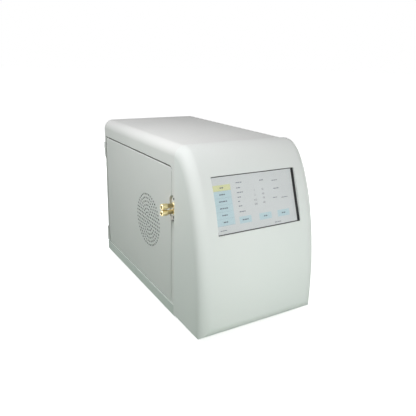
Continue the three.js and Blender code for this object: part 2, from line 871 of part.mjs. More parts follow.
// Hinge leaf with its half of the barrel; the door's half is above, the frame's below.
function hingeLeaf(centreZ, onDoor) {
  const half = hingeHeight / 2;
  const [low, high] = onDoor
    ? [centreZ + seatGap / 2, centreZ + half]
    : [centreZ - half, centreZ - seatGap / 2];
  const leafDepth = onDoor
    ? [doorRear - seatGap - hingeLeafThickness, doorRear - seatGap]
    : [rearStrip + seatGap, rearStrip + seatGap + hingeLeafThickness];
  const rootX = hingeAxisX + leafRootShare * knuckleRadius;
  const leafEnd = -hoodSide + hingeLeafWidth;
  const barrel = rod(
    at(hingeAxisX, hingeAxisDepth, low),
    at(hingeAxisX, hingeAxisDepth, high),
    knuckleRadius,
    knuckleSides,
  );
  const bore = rod(
    at(hingeAxisX, hingeAxisDepth, low - overrun),
    at(hingeAxisX, hingeAxisDepth, high + overrun),
    knuckleBore,
    knuckleSides,
  );
  const plate = block([-hoodSide, leafEnd], leafDepth, [centreZ - half, centreZ + half]);
  const neck = block([rootX, -hoodSide + weld], leafDepth, [low, high]);
  return cut(join(plate, neck, barrel), bore);
}

function hingePin(centreZ) {
  const half = hingeHeight / 2 + seatGap;
  return turned(
    [
      [0, -half],
      [pinRadius, -half],
      [pinRadius, half],
      [pinHeadRadius, half],
      [pinHeadRadius, half + pinHeadHeight],
      [0, half + pinHeadHeight],
    ],
    at(hingeAxisX, hingeAxisDepth, centreZ),
    upward,
    knuckleSides,
  );
}

// Fan frame: square, bored for the blades, with struts that carry the motor cup.
const ventZ = bottomZ + ventRise;
const fanOuterX = -wallInside + seatGap;
const fanInnerX = fanOuterX + fanThickness;
function fanFrame() {
  const shape = roundedShape(fanSize, fanSize, fanCornerRadius, ventDepth, ventZ);
  for (const a of [-1, 1])
    for (const b of [-1, 1])
      shape.holes.push(
        regularShape(
          fanScrewRadius,
          6,
          ventDepth + (a * fanScrewSpacing) / 2,
          ventZ + (b * fanScrewSpacing) / 2,
        ),
      );
  shape.holes.push(regularShape(fanBoreRadius, 28, ventDepth, ventZ));
  const frame = alongX(shape, fanOuterX, fanInnerX, 2);
  const cup = [fanInnerX - fanStatorHeight, fanInnerX];
  const stator = alongX(regularShape(fanStatorRadius, 20, ventDepth, ventZ), ...cup);
  const struts = [];
  for (let i = 0; i < fanStruts; i++) {
    const angle = Math.PI / 4 + (i * 2 * Math.PI) / fanStruts;
    const strut = new THREE.BoxGeometry(
      fanStatorHeight,
      fanBoreRadius + weld,
      fanStrutWidth,
    ).translate((cup[0] + cup[1]) / 2, -(fanBoreRadius + weld) / 2, 0);
    struts.push(solidOf(strut.rotateX(angle).translate(0, -ventDepth, ventZ)));
  }
  return join(frame, stator, ...struts);
}

// Fan rotor: a cup with pitched blades.
function fanRotor() {
  const start = fanInnerX - fanStatorHeight - seatGap;
  const hub = alongX(regularShape(fanHubRadius, 20, ventDepth, ventZ), start - fanHubHeight, start);
  const blades = [];
  const bladeLength = fanBladeTip - fanHubRadius + weld;
  for (let i = 0; i < fanBladeCount; i++) {
    const blade = new THREE.BoxGeometry(fanBladeThickness, bladeLength, fanBladeHeight, 1, 3, 1);
    const places = blade.attributes.position;
    for (let v = 0; v < places.count; v++) {
      const outward = (places.getY(v) + bladeLength / 2) / bladeLength;
      const turn = fanBladePitch * (1 + outward / 2);
      const [x, z] = [places.getX(v), places.getZ(v)];
      places.setX(v, x * Math.sin(turn) + z * Math.cos(turn));
      places.setZ(v, z * Math.sin(turn) - x * Math.cos(turn));
    }
    blade.translate(start - fanHubHeight / 2, fanBladeTip - bladeLength / 2, 0);
    blade.rotateX((i * 2 * Math.PI) / fanBladeCount);
    blades.push(solidOf(blade.translate(0, -ventDepth, ventZ)));
  }
  return join(hub, ...blades);
}

// Port plate and the two brass bulkhead ports.
const portPlateX = -hoodSide + portPlateSink; // outer face
const tabX = portPlateX + portPlateThickness + seatGap; // outer face of the bracket tab
const portHeights = [recessZ + portSpacing / 2, recessZ - portSpacing / 2];
const portHole = (z, x0, x1) =>
  rod(at(x0 - overrun, recessDepth, z), at(x1 + overrun, recessDepth, z), portHoleRadius, 12);

function portPlate() {
  const shape = roundedShape(
    portPlateWidth,
    portPlateHeight,
    portPlateWidth / 2,
    recessDepth,
    recessZ,
  );
  const inner = portPlateX + portPlateThickness;
  const plate = alongX(shape, portPlateX, inner, 5);
  return cut(plate, ...portHeights.map((z) => portHole(z, portPlateX, inner)));
}

function portFitting(z) {
  const rows = [
    [portBore, -portShankLength],
    [portShankRadius, -portShankLength],
    [portShankRadius, 0],
    [portFlangeRadius, 0],
    [portFlangeRadius, portFlangeThickness],
    [portNeckRadius, portFlangeThickness],
    [portNeckRadius, portNeckEnd],
    [portCollarRadius, portFlareEnd],
    [portCollarRadius, portLength - portChamfer],
    [portCollarRadius - portChamfer, portLength],
    [portBore, portLength],
    [portBore, -portShankLength],
  ];
  return turned(rows, at(portPlateX - seatGap, recessDepth, z), across.clone().negate(), portSides);
}

function portNut(z) {
  const start = tabX + tabThickness + seatGap;
  const cornerRadius = nutAcross / 2 / Math.cos(Math.PI / nutSides);
  const body = alongX(regularShape(cornerRadius, nutSides, recessDepth, z), start, start + nutThickness);
  return cut(body, portHole(z, start, start + nutThickness));
}

// Cross plate behind the front moulding, with the tab that carries the port plate.
function frontBulkhead() {
  const face = archShape(sheet + seatGap, floorZ + seatGap);
  const plate = alongDepth(face, bulkheadRear, bulkheadFront, 4);
  const ledges = [-1, 1].map((side) => {
    const inner = side * (hoodSide + sillProud - sillLedge - seatGap);
    const outer = side * hoodWidth;
    return block(
      [Math.min(inner, outer), Math.max(inner, outer)],
      [bulkheadRear - overrun, bulkheadFront + overrun],
      [0, sillZ + seatGap],
    );
  });
  const opening = alongDepth(
    roundedShape(
      bulkheadOpeningWidth,
      bulkheadOpeningHeight,
      wireHoleRadius,
      0,
      screenZ - bulkheadOpeningHeight / 2,
    ),
    bulkheadRear - overrun,
    bulkheadFront + overrun,
    2,
  );
  const tab = block(
    [tabX, tabX + tabThickness],
    [bulkheadRear - tabReach, bulkheadRear + weld],
    [recessZ - tabHeight / 2, recessZ + tabHeight / 2],
  );
  const holes = portHeights.map((z) => portHole(z, tabX, tabX + tabThickness));
  const notch = block(
    [-hoodWidth, tabX],
    [bulkheadRear - overrun, bulkheadFront + overrun],
    [recessZ - recessHeight / 2, recessZ + recessHeight / 2],
  );
  return cut(join(cut(plate, ...ledges, opening, notch), tab), ...holes);
}

// Lengthwise plate: wet parts hang on its left, electronics on its right.
function chassisPlate() {
  const shape = new THREE.Shape();
  shape.moveTo(chassisRear, floorZ + seatGap);
  shape.lineTo(chassisFront, floorZ + seatGap);
  shape.lineTo(chassisFront, chassisTopZ);
  shape.lineTo(chassisRear, chassisTopZ);
  const pumpZ = bottomZ + pumpRise;
  shape.holes.push(regularShape(motorNeckRadius + seatGap, 16, pumpDepth, pumpZ));
  const wireHoles = [
    [reactorStart - wireHoleRadius * 2, reactorZ],
    [(cellInDepth + cellOutDepth) / 2, bottomZ + cellRise + cellBlockHeight * 2],
    [chassisFront - wireHoleRadius * 2, reactorZ],
  ];
  for (const [d, z] of wireHoles) shape.holes.push(regularShape(wireHoleRadius, 12, d, z));
  const plate = alongX(shape, chassisX, chassisX + sheet);
  const foot = block(
    [chassisX, chassisX + chassisFoot],
    [chassisRear, chassisFront],
    [floorZ + seatGap, floorZ + seatGap + sheet],
  );
  return join(plate, foot);
}

// Rear panel with exhaust slots and cut-outs for the inlet, the switch and the data port.
const rearOuter = rearPanelInset;
const rearInner = rearPanelInset + sheet;
const inletZ = bottomZ + inletRise;
const dataZ = bottomZ + dataPortRise;
// Slot with pointed ends, which a punch leaves nearly round.
function slotShape(x, z) {
  const [w, h] = [slotWidth / 2, slotHeight / 2];
  return polygonShape([
    [x - w, z],
    [x - w + h, z - h],
    [x + w - h, z - h],
    [x + w, z],
    [x + w - h, z + h],
    [x - w + h, z + h],
  ]);
}

function rearPanel() {
  const shape = archShape(sheet + rearFit, floorZ + rearFit);
  const slots = [];
  for (let row = 0; row < slotRows; row++)
    for (let column = 0; column < slotColumns; column++)
      slots.push(
        slotShape(
          (column - (slotColumns - 1) / 2) * slotColumnPitch,
          bottomZ + slotFieldRise + (row - (slotRows - 1) / 2) * slotPitch,
        ),
      );
  const clear = 2 * seatGap;
  shape.holes.push(
    ...slots,
    roundedShape(inletBodyWidth + clear, inletBodyHeight + clear, sheet, inletX, inletZ),
    roundedShape(
      switchWidth - 2 * switchRim + clear,
      switchHeight - 2 * switchRim + clear,
      sheet,
      switchX,
      inletZ,
    ),
    roundedShape(dataShellWidth + clear, dataShellHeight + clear, seatGap, dataPortX, dataZ),
  );
  const panel = alongDepth(shape, rearOuter, rearInner, 2);
  const side = hoodSide + sillProud - sillLedge - seatGap;
  const corners = [-1, 1].map((sign) =>
    block(
      [Math.min(sign * side, sign * hoodWidth), Math.max(sign * side, sign * hoodWidth)],
      [rearOuter - overrun, rearInner + overrun],
      [0, sillZ + seatGap],
    ),
  );
  return cut(panel, ...corners);
}

// Mains inlet: a flanged body with a socket whose lower corners are cut off, and three blades.
function mainsInlet() {
  const flangeFront = rearOuter - seatGap;
  const flange = alongDepth(
    roundedShape(inletFlangeWidth, inletFlangeHeight, inletFlangeThickness, inletX, inletZ),
    flangeFront - inletFlangeThickness,
    flangeFront,
    3,
  );
  const body = alongDepth(
    roundedShape(inletBodyWidth, inletBodyHeight, sheet, inletX, inletZ),
    flangeFront - weld,
    flangeFront + inletBodyDepth,
    2,
  );
  const [w, h] = [inletSocketWidth / 2, inletSocketHeight / 2];
  const mouth = polygonShape([
    [inletX - w + inletSocketChamfer, inletZ - h],
    [inletX + w - inletSocketChamfer, inletZ - h],
    [inletX + w, inletZ - h + inletSocketChamfer],
    [inletX + w, inletZ + h],
    [inletX - w, inletZ + h],
    [inletX - w, inletZ - h + inletSocketChamfer],
  ]);
  const mouthStart = flangeFront - inletFlangeThickness;
  const socket = alongDepth(mouth, mouthStart - overrun, mouthStart + inletSocketDepth);
  const blades = [
    [-inletBladeSpacing, inletBladeDrop],
    [inletBladeSpacing, inletBladeDrop],
    [0, -inletEarthRise],
  ].map(([dx, dz]) =>
    block(
      [inletX + dx - inletBladeWidth / 2, inletX + dx + inletBladeWidth / 2],
      [mouthStart + inletSocketDepth - inletBladeLength, mouthStart + inletSocketDepth + weld],
      [inletZ + dz - inletBladeHeight / 2, inletZ + dz + inletBladeHeight / 2],
    ),
  );
  return join(cut(join(flange, body), socket), ...blades);
}

// Rocker switch: a housing with a throat, and a rocker crowned towards its two ends.
const rockerPivot = at(switchX, rearOuter + rockerPivotSink, inletZ);
function switchHousing() {
  const front = rearOuter - seatGap;
  const rim = alongDepth(
    roundedShape(switchWidth, switchHeight, switchRim, switchX, inletZ),
    front - switchRimThickness,
    front,
    3,
  );
  const body = alongDepth(
    roundedShape(switchWidth - 2 * switchRim, switchHeight - 2 * switchRim, sheet, switchX, inletZ),
    front - weld,
    front + switchBodyDepth,
    2,
  );
  const throat = block(
    [switchX - rockerWidth / 2 - seatGap, switchX + rockerWidth / 2 + seatGap],
    [front - switchRimThickness - overrun, rearOuter + rockerPivotSink + rockerCrown + rockerThroat],
    [inletZ - rockerHeight / 2 - seatGap, inletZ + rockerHeight / 2 + seatGap],
  );
  return cut(join(rim, body), throat);
}

function switchRocker() {
  const half = rockerHeight / 2 - rockerThroat;
  const hub = rearOuter + rockerPivotSink;
  const face = rearOuter - switchRimThickness;
  const shape = new THREE.Shape();
  shape.moveTo(hub + rockerCrown / 2, inletZ - rockerCrown);
  shape.lineTo(hub + rockerCrown / 2, inletZ + rockerCrown);
  shape.lineTo(hub - rockerCrown / 2, inletZ + half);
  shape.lineTo(face - rockerCrown / 2, inletZ + half);
  shape.quadraticCurveTo(face, inletZ, face - rockerCrown / 2, inletZ - half);
  shape.lineTo(hub - rockerCrown / 2, inletZ - half);
  return alongX(shape, switchX - rockerWidth / 2, switchX + rockerWidth / 2, 6);
}

// Data port: a plate behind the panel and a sloped shell that comes through it.
function dataPort() {
  const [w, h] = [dataShellWidth / 2, dataShellHeight / 2];
  const shell = polygonShape([
    [dataPortX - w + dataShellSlope, dataZ - h],
    [dataPortX + w - dataShellSlope, dataZ - h],
    [dataPortX + w, dataZ + h],
    [dataPortX - w, dataZ + h],
  ]);
  const start = rearInner + seatGap;
  const plate = alongDepth(
    roundedShape(dataPlateWidth, dataPlateHeight, dataPlateThickness, dataPortX, dataZ),
    start,
    start + dataPlateThickness + dataBodyDepth,
    2,
  );
  return join(alongDepth(shell, start - dataShellReach, start + weld), plate);
}

// Pump head: a cup whose track the rollers press the hose against, open at the top for its legs.
const pumpZ = bottomZ + pumpRise;
const pumpWallX = chassisX - seatGap; // back of the pump body
const pumpFaceX = pumpWallX - pumpBodyDepth;
const rotorBackX = pumpWallX - pumpBack - rotorClearance;
const carrierGapX = rotorBackX - carrierThickness;
const rollerFaceX = carrierGapX - rollerLength - 2 * seatGap;
const rotorFaceX = rollerFaceX - carrierThickness;
const rollerMidX = (carrierGapX + rollerFaceX) / 2;

function pumpOutline(radius, shoulder) {
  const shape = new THREE.Shape();
  shape.moveTo(pumpDepth + radius, pumpZ + shoulder);
  shape.lineTo(pumpDepth - radius, pumpZ + shoulder);
  shape.lineTo(pumpDepth - radius, pumpZ);
  shape.absarc(pumpDepth, pumpZ, radius, Math.PI, 2 * Math.PI);
  return shape;
}

function pumpBody() {
  const outer = alongX(pumpOutline(pumpBodyRadius, pumpShoulder), pumpFaceX, pumpWallX, 10);
  const well = alongX(
    pumpOutline(pumpTrackRadius, rollerCentre + rollerRadius + rotorClearance),
    pumpFaceX - overrun,
    pumpWallX - pumpBack,
    12,
  );
  const slots = [-1, 1].map((side) => {
    const centre = pumpDepth + side * hosePathRadius;
    return block(
      [pumpFaceX - overrun, rollerMidX + hoseFlatWidth],
      [centre - hoseSlotWidth / 2, centre + hoseSlotWidth / 2],
      [pumpZ, pumpZ + pumpShoulder + overrun],
    );
  });
  const shaftHole = rod(
    at(pumpWallX - pumpBack - overrun, pumpDepth, pumpZ),
    at(pumpWallX + overrun, pumpDepth, pumpZ),
    pumpShaftHole + seatGap,
    16,
  );
  const recessForNeck = rod(
    at(pumpWallX - pumpBack / 2, pumpDepth, pumpZ),
    at(pumpWallX + overrun, pumpDepth, pumpZ),
    motorNeckRadius + seatGap,
    16,
  );
  return cut(outer, well, ...slots, shaftHole, recessForNeck);
}

function pumpCover() {
  const front = pumpFaceX - seatGap;
  return alongX(pumpOutline(pumpBodyRadius, pumpShoulder), front - pumpCoverThickness, front, 10);
}

function rollerPlace(index) {
  const angle = Math.PI / 2 + (index * 2 * Math.PI) / rollerCount;
  return [pumpDepth + rollerCentre * Math.cos(angle), pumpZ + rollerCentre * Math.sin(angle)];
}

function pumpRotor() {
  const disc = (x0, x1, radius, sides) =>
    alongX(regularShape(radius, sides, pumpDepth, pumpZ), x0, x1);
  const axles = [];
  for (let i = 0; i < rollerCount; i++) {
    const [d, z] = rollerPlace(i);
    axles.push(rod(at(rotorFaceX, d, z), at(rotorBackX, d, z), rollerAxle, 8));
  }
  const carrier = join(
    disc(carrierGapX, rotorBackX, carrierRadius, 18),
    disc(rotorFaceX, rollerFaceX, carrierRadius, 18),
    disc(rollerFaceX - weld, carrierGapX + weld, carrierHub, 10),
    ...axles,
  );
  const bore = rod(
    at(rotorFaceX - overrun, pumpDepth, pumpZ),
    at(rotorBackX + overrun, pumpDepth, pumpZ),
    pumpShaftRadius + seatGap,
    12,
  );
  return cut(carrier, bore);
}

function pumpRoller(index) {
  const [d, z] = rollerPlace(index);
  const start = rollerFaceX + seatGap;
  const rows = [
    [rollerBore, 0],
    [rollerRadius, 0],
    [rollerRadius, rollerLength],
    [rollerBore, rollerLength],
    [rollerBore, 0],
  ];
  return turned(rows, at(start, d, z), across, 12);
}

function pumpShaft() {
  return rod(
    at(rotorFaceX, pumpDepth, pumpZ),
    at(chassisX + sheet + motorShaftDepth, pumpDepth, pumpZ),
    pumpShaftRadius,
    12,
  );
}

// Hose in the head: pressed flat along the track, round again in its two legs.
const hosePathRadius = pumpTrackRadius - seatGap - hoseFlatThickness / 2;
function pumpHose() {
  const outer = hosePathRadius + hoseFlatThickness / 2;
  const inner = hosePathRadius - hoseFlatThickness / 2;
  const half = hoseFlatWidth / 2;
  const band = cut(
    alongX(pumpOutline(outer, hoseRoundRise + weld), rollerMidX - half, rollerMidX + half, 12),
    alongX(
      pumpOutline(inner, hoseRoundRise + overrun),
      rollerMidX - half - overrun,
      rollerMidX + half + overrun,
      12,
    ),
  );
  const legs = [-1, 1].map((side) =>
    rod(
      at(rollerMidX, pumpDepth + side * hosePathRadius, pumpZ + hoseRoundRise),
      at(rollerMidX, pumpDepth + side * hosePathRadius, pumpZ + hoseLegTop),
      hoseRadius,
      tubeSides,
    ),
  );
  return join(band, ...legs);
}

// Gear motor behind the plate; its neck passes through the plate into the pump body.
function pumpMotor() {
  const face = chassisX + sheet + seatGap;
  const rows = [
    [pumpShaftHole, -motorNeckLength / 2],
    [motorNeckRadius, -motorNeckLength / 2],
    [motorNeckRadius, 0],
    [gearboxRadius, 0],
    [gearboxRadius, gearboxLength],
    [motorRadius, gearboxLength],
    [motorRadius, motorLength + gearboxLength],
    [0, motorLength + gearboxLength],
    [0, motorShaftDepth + seatGap],
    [pumpShaftHole, motorShaftDepth + seatGap],
    [pumpShaftHole, -motorNeckLength / 2],
  ];
  return turned(rows, at(face, pumpDepth, pumpZ), across, 16);
}

// Reactor: a polished tube with stepped caps; each cap has a water port and a lamp socket.
const reactorX = chassisX - reactorOffset;
const reactorEnd = reactorStart + reactorLength;
function reactorTube() {
  const inner = reactorRadius - reactorWall;
  const rows = [
    [inner, 0],
    [reactorRadius, 0],
    [reactorRadius, reactorLength],
    [inner, reactorLength],
    [inner, 0],
  ];
  return turned(rows, at(reactorX, reactorStart, reactorZ), forward, 18);
}

// Lamp: a glass envelope between two ceramic ends that bear on the caps.
function uvLamp() {
  const reach = reactorLength - 2 * seatGap;
  const rows = [
    [0, seatGap],
    [lampEndRadius, seatGap],
    [lampEndRadius, lampEndLength],
    [lampRadius, lampEndLength],
    [lampRadius, reach - lampEndLength],
    [lampEndRadius, reach - lampEndLength],
    [lampEndRadius, reach],
    [0, reach],
  ];
  return turned(rows, at(reactorX, reactorStart, reactorZ), forward, 12);
}

const reactorPortDepth = reactorCapStep + (reactorCapLength - reactorCapStep) / 2;
function reactorCap(end, direction) {
  const rows = [
    [0, seatGap],
    [reactorCapRadius, seatGap],
    [reactorCapRadius, reactorCapLength],
    [lampSocketRadius, reactorCapLength + reactorCapStep],
    [lampSocketRadius, reactorCapLength + lampSocketLength],
    [0, reactorCapLength + lampSocketLength],
  ];
  const body = turned(rows, at(reactorX, end, reactorZ), direction, 18);
  const depth = end - direction.y * reactorPortDepth;
  const spigotEnd = reactorZ - reactorCapRadius - reactorPortLength;
  const spigot = rod(
    at(reactorX, depth, reactorZ),
    at(reactorX, depth, spigotEnd),
    reactorPortRadius,
    10,
  );
  const bore = rod(
    at(reactorX, depth, reactorZ - reactorCapRadius / 2),
    at(reactorX, depth, spigotEnd - overrun),
    reactorPortBore,
    8,
  );
  return cut(join(body, spigot), bore);
}

// Saddle clamp: a strap round the tube with a foot on the chassis plate above and below.
function reactorClamp(depth) {
  const inner = reactorRadius + seatGap;
  const outer = inner + clampThickness;
  const range = [depth - clampWidth / 2, depth + clampWidth / 2];
  const footX = chassisX - seatGap;
  const strap = new THREE.Shape();
  strap.moveTo(footX, reactorZ + outer);
  strap.lineTo(reactorX, reactorZ + outer);
  strap.absarc(reactorX, reactorZ, outer, Math.PI / 2, (3 * Math.PI) / 2);
  strap.lineTo(footX, reactorZ - outer);
  const hollow = new THREE.Shape();
  hollow.moveTo(footX + overrun, reactorZ + inner);
  hollow.lineTo(reactorX, reactorZ + inner);
  hollow.absarc(reactorX, reactorZ, inner, Math.PI / 2, (3 * Math.PI) / 2);
  hollow.lineTo(footX + overrun, reactorZ - inner);
  const loop = cut(
    alongDepth(strap, ...range, 7),
    alongDepth(hollow, range[0] - overrun, range[1] + overrun, 7),
  );
  const feet = [1, -1].map((side) => {
    const near = reactorZ + side * inner;
    const far = reactorZ + side * (outer + clampFootReach);
    return block([footX - clampThickness, footX], range, [Math.min(near, far), Math.max(near, far)]);
  });
  return join(loop, ...feet);
}

// Conductivity cells: a flow block with side spigots and a probe screwed in from above.
const cellX = chassisX - seatGap - sheet - cellBracketGap - cellBlockSize / 2 - seatGap;
const cellZ = bottomZ + cellRise;
function conductivityCell(depth) {
  const half = cellBlockSize / 2;
  const halfHeight = cellBlockHeight / 2;
  const body = block(
    [cellX - half, cellX + half],
    [depth - half, depth + half],
    [cellZ - halfHeight, cellZ + halfHeight],
  );
  const probe = turned(
    [
      [0, -weld],
      [cellNutRadius, -weld],
      [cellNutRadius, cellNutHeight],
      [cellProbeRadius, cellNutHeight],
      [cellProbeRadius, cellProbeLength],
      [cellCableRadius, cellProbeLength],
      [cellCableRadius, cellProbeLength + cellCableLength],
      [0, cellProbeLength + cellCableLength],
    ],
    at(cellX, depth, cellZ + halfHeight),
    upward,
    12,
  );
  const spigots = rod(
    at(cellX, depth, cellZ - halfHeight + weld),
    at(cellX, depth, cellZ - halfHeight - cellSpigotLength),
    cellSpigotRadius,
    10,
  );
  const outlet = rod(
    at(cellX - half + weld, depth, cellZ),
    at(cellX - half - cellSpigotLength, depth, cellZ),
    cellSpigotRadius,
    10,
  );
  return join(body, probe, spigots, outlet);
}

// Channel-shaped bracket that carries both cells off the chassis plate.
function cellBracket() {
  const wallX = chassisX - seatGap;
  const faceX = wallX - sheet - cellBracketGap;
  const half = cellBlockSize / 2;
  const range = [cellOutDepth - half, cellInDepth + half];
  const heights = [cellZ - cellBracketHeight / 2, cellZ + cellBracketHeight / 2];
  const web = block([faceX, faceX + sheet], range, heights);
  const leg = (d) => block([faceX, wallX], [d, d + sheet], heights);
  const foot = (low, high) => block([wallX - sheet, wallX], [low, high], heights);
  return join(
    web,
    leg(range[0]),
    leg(range[1] - sheet),
    foot(range[0] - cellBracketGap, range[0] + sheet),
    foot(range[1] - sheet, range[1] + cellBracketGap),
  );
}

// Power supply: a sheet case on two rails, with cooling slots across its cover.
function powerSupply() {
  const low = floorZ + seatGap;
  const [x0, x1] = [supplyX - supplyWidth / 2, supplyX + supplyWidth / 2];
  const depths = [supplyStart, supplyStart + supplyDepth];
  const body = block([x0, x1], depths, [low + supplyFoot, low + supplyHeight]);
  const rails = [x0, x1 - supplyFoot].map((x) =>
    block([x, x + supplyFoot], depths, [low, low + supplyFoot + weld]),
  );
  const slots = [];
  for (let i = 0; i < supplySlots; i++) {
    const d = supplyStart + supplyDepth / 2 + (i - (supplySlots - 1) / 2) * supplySlotPitch;
    slots.push(
      block(
        [x0 + supplySlotPitch, x1 - supplySlotPitch],
        [d, d + supplySlotWidth],
        [low + supplyHeight - sheet - overrun, low + supplyHeight + overrun],
      ),
    );
  }
  const hollow = block(
    [x0 + sheet, x1 - sheet],
    [supplyStart + sheet, supplyStart + supplyDepth - sheet],
    [low + supplyFoot + sheet, low + supplyHeight - sheet],
  );
  return cut(join(body, ...rails), hollow, ...slots);
}

// Lamp ballast: a small sealed box with a fixing ear at each end.
function lampBallast() {
  const low = floorZ + seatGap;
  const x = [ballastX - ballastWidth / 2, ballastX + ballastWidth / 2];
  const body = block(x, [ballastStart, ballastStart + ballastDepth], [low, low + ballastHeight]);
  const ears = block(
    x,
    [ballastStart - ballastEarLength, ballastStart + ballastDepth + ballastEarLength],
    [low, low + ballastEarThickness],
  );
  return join(body, ears);
}

// Control board on standoffs, facing right from the chassis plate.
function controlBoard() {
  const flat = board(controlBoardLength, controlBoardHeight, 0, standoffLength, controlPartShares);
  const matrix = new THREE.Matrix4()
    .makeBasis(forward, upward, forward.clone().cross(upward))
    .setPosition(
      chassisX + sheet + seatGap,
      -(controlBoardStart + controlBoardLength / 2),
      topZ - controlBoardDrop,
    );
  return solidOf(geometryOf(flat).applyMatrix4(matrix));
}

function foot(x, depth) {
  return turned(
    [
      [0, 0],
      [footBottomRadius, 0],
      [footTopRadius, footHeight - seatGap],
      [0, footHeight - seatGap],
    ],
    at(x, depth, 0),
    upward,
    14,
  );
}

// Magnetic catch under the opening's top fold; it holds the door by its folded edge.
function doorCatch() {
  const x = -hoodSide + doorReturn + seatGap;
  const top = openingTopZ - seatGap;
  const body = block(
    [x, x + catchDepth],
    [openingFront - catchSetback - catchLength, openingFront - catchSetback],
    [top - catchHeight, top],
  );
  const relief = block(
    [x - overrun, x + catchRelief],
    [
      openingFront - catchSetback - catchLength + catchCheek,
      openingFront - catchSetback - catchCheek,
    ],
    [top - catchHeight - overrun, top - catchHeight + catchCheek],
  );
  return cut(body, relief);
}

// Water tubes: each leaves one port straight, swings over and enters the next one straight.
const downward = upward.clone().negate();
const leftward = across.clone().negate();
function waterTube([start, startWay, startReach], [end, endWay, endReach]) {
  const from = start.clone().addScaledVector(startWay, seatGap);
  const to = end.clone().addScaledVector(endWay, seatGap);
  const path = new THREE.CubicBezierCurve3(
    from,
    from.clone().addScaledVector(startWay, startReach),
    to.clone().addScaledVector(endWay, endReach),
    to,
  );
  const geometry = new THREE.ExtrudeGeometry(regularShape(tubeRadius, tubeSides), {
    steps: tubeSteps,
    bevelEnabled: false,
    extrudePath: path,
  });
  return solidOf(geometry);
}

const shankEndX = portPlateX - seatGap + portShankLength;
const inletEnd = at(shankEndX, recessDepth, portHeights[0]);
const outletEnd = at(shankEndX, recessDepth, portHeights[1]);
const cellFootZ = cellZ - cellBlockHeight / 2 - cellSpigotLength;
const cellFoot = (depth) => at(cellX, depth, cellFootZ);
const cellSide = (depth) => at(cellX - cellBlockSize / 2 - cellSpigotLength, depth, cellZ);
const reactorPortZ = reactorZ - reactorCapRadius - reactorPortLength;
const reactorIn = at(reactorX, reactorEnd + reactorPortDepth, reactorPortZ);
const reactorOut = at(reactorX, reactorStart - reactorPortDepth, reactorPortZ);
const hoseTop = (side) => at(rollerMidX, pumpDepth + side * hosePathRadius, pumpZ + hoseLegTop);
const waterTubes = {
  tube_inlet_to_cell: [
    [inletEnd, across, reachMiddle],
    [cellFoot(cellInDepth), downward, reachShort],
  ],
  tube_cell_to_reactor: [
    [cellSide(cellInDepth), leftward, reachShort],
    [reactorIn, downward, reachMiddle],
  ],
  tube_reactor_to_cell: [
    [reactorOut, downward, reachLong],
    [cellFoot(cellOutDepth), downward, reachMiddle],
  ],
  tube_cell_to_pump: [
    [cellSide(cellOutDepth), leftward, reachMiddle],
    [hoseTop(-1), upward, reachMiddle],
  ],
  tube_pump_to_outlet: [
    [hoseTop(1), upward, reachMiddle],
    [outletEnd, across, reachShort],
  ],
};

// Ribbon cable from the display board back through the cross plate to the control board.
function displayRibbon() {
  const boardBack = panelBack - seatGap - pillarHeight - boardThickness;
  const turn = new THREE.Matrix4().makeRotationX(screenTurn).setPosition(screenPlace);
  const start = new THREE.Vector3(ribbonX, -ribbonDrop, boardBack - seatGap).applyMatrix4(turn);
  const away = new THREE.Vector3(0, 0, -1).transformDirection(turn);
  const end = at(
    ribbonX,
    controlBoardStart + controlBoardLength + seatGap,
    topZ - controlBoardDrop,
  );
  const path = new THREE.CubicBezierCurve3(
    start,
    start.clone().addScaledVector(away, reachShort),
    end.clone().addScaledVector(forward, reachMiddle),
    end,
  );
  const strip = polygonShape([
    [-ribbonThickness / 2, -ribbonWidth / 2],
    [ribbonThickness / 2, -ribbonWidth / 2],
    [ribbonThickness / 2, ribbonWidth / 2],
    [-ribbonThickness / 2, ribbonWidth / 2],
  ]);
  const geometry = new THREE.ExtrudeGeometry(strip, {
    steps: tubeSteps,
    bevelEnabled: false,
    extrudePath: path,
  });
  return solidOf(geometry);
}

addPiece("base_tray", baseTray(), paintTray);
addPiece("hood", hood(), paint);
addPiece("front_bezel", frontBezel(), mouldedWhite);
addPiece("rear_panel", rearPanel(), paint);
addPiece("front_bulkhead", frontBulkhead(), zincSheet);
addPiece("chassis_plate", chassisPlate(), zincSheet);
addScreen();

addPiece("port_plate", portPlate(), steel);
["inlet", "outlet"].forEach((use, i) => {
  addPiece("port_" + use, portFitting(portHeights[i]), brass);
  addPiece("port_nut_" + use, portNut(portHeights[i]), brass);
});

const door = addGroup(at(hingeAxisX, hingeAxisDepth, doorFootZ));
addPiece("side_door", sideDoor(), paint, door);
hingeRises.forEach((rise, i) => {
  const place = ["lower", "upper"][i];
  addPiece("hinge_door_leaf_" + place, hingeLeaf(bottomZ + rise, true), steel, door);
  addPiece("hinge_frame_leaf_" + place, hingeLeaf(bottomZ + rise, false), steel);
  addPiece("hinge_pin_" + place, hingePin(bottomZ + rise), steel);
});
addPiece("fan_frame", fanFrame(), blackPlastic, door);
addPiece("fan_rotor", fanRotor(), blackPlastic, door);

addPiece("mains_inlet", mainsInlet(), blackPlastic);
addPiece("switch_housing", switchHousing(), blackPlastic);
const rocker = addGroup(rockerPivot);
rocker.rotation.x = rockerTilt;
addPiece("switch_rocker", switchRocker(), blackPlastic, rocker);
addPiece("data_port", dataPort(), steel);

addPiece("pump_body", pumpBody(), greyPlastic);
addPiece("pump_cover", pumpCover(), clearPlastic);
addPiece("pump_hose", pumpHose(), siliconeHose);
addPiece("pump_rotor", pumpRotor(), greyPlastic);
addPiece("pump_shaft", pumpShaft(), steel);
for (let i = 0; i < rollerCount; i++) addPiece("pump_roller_" + (i + 1), pumpRoller(i), fluoroWhite);
addPiece("pump_motor", pumpMotor(), steel);

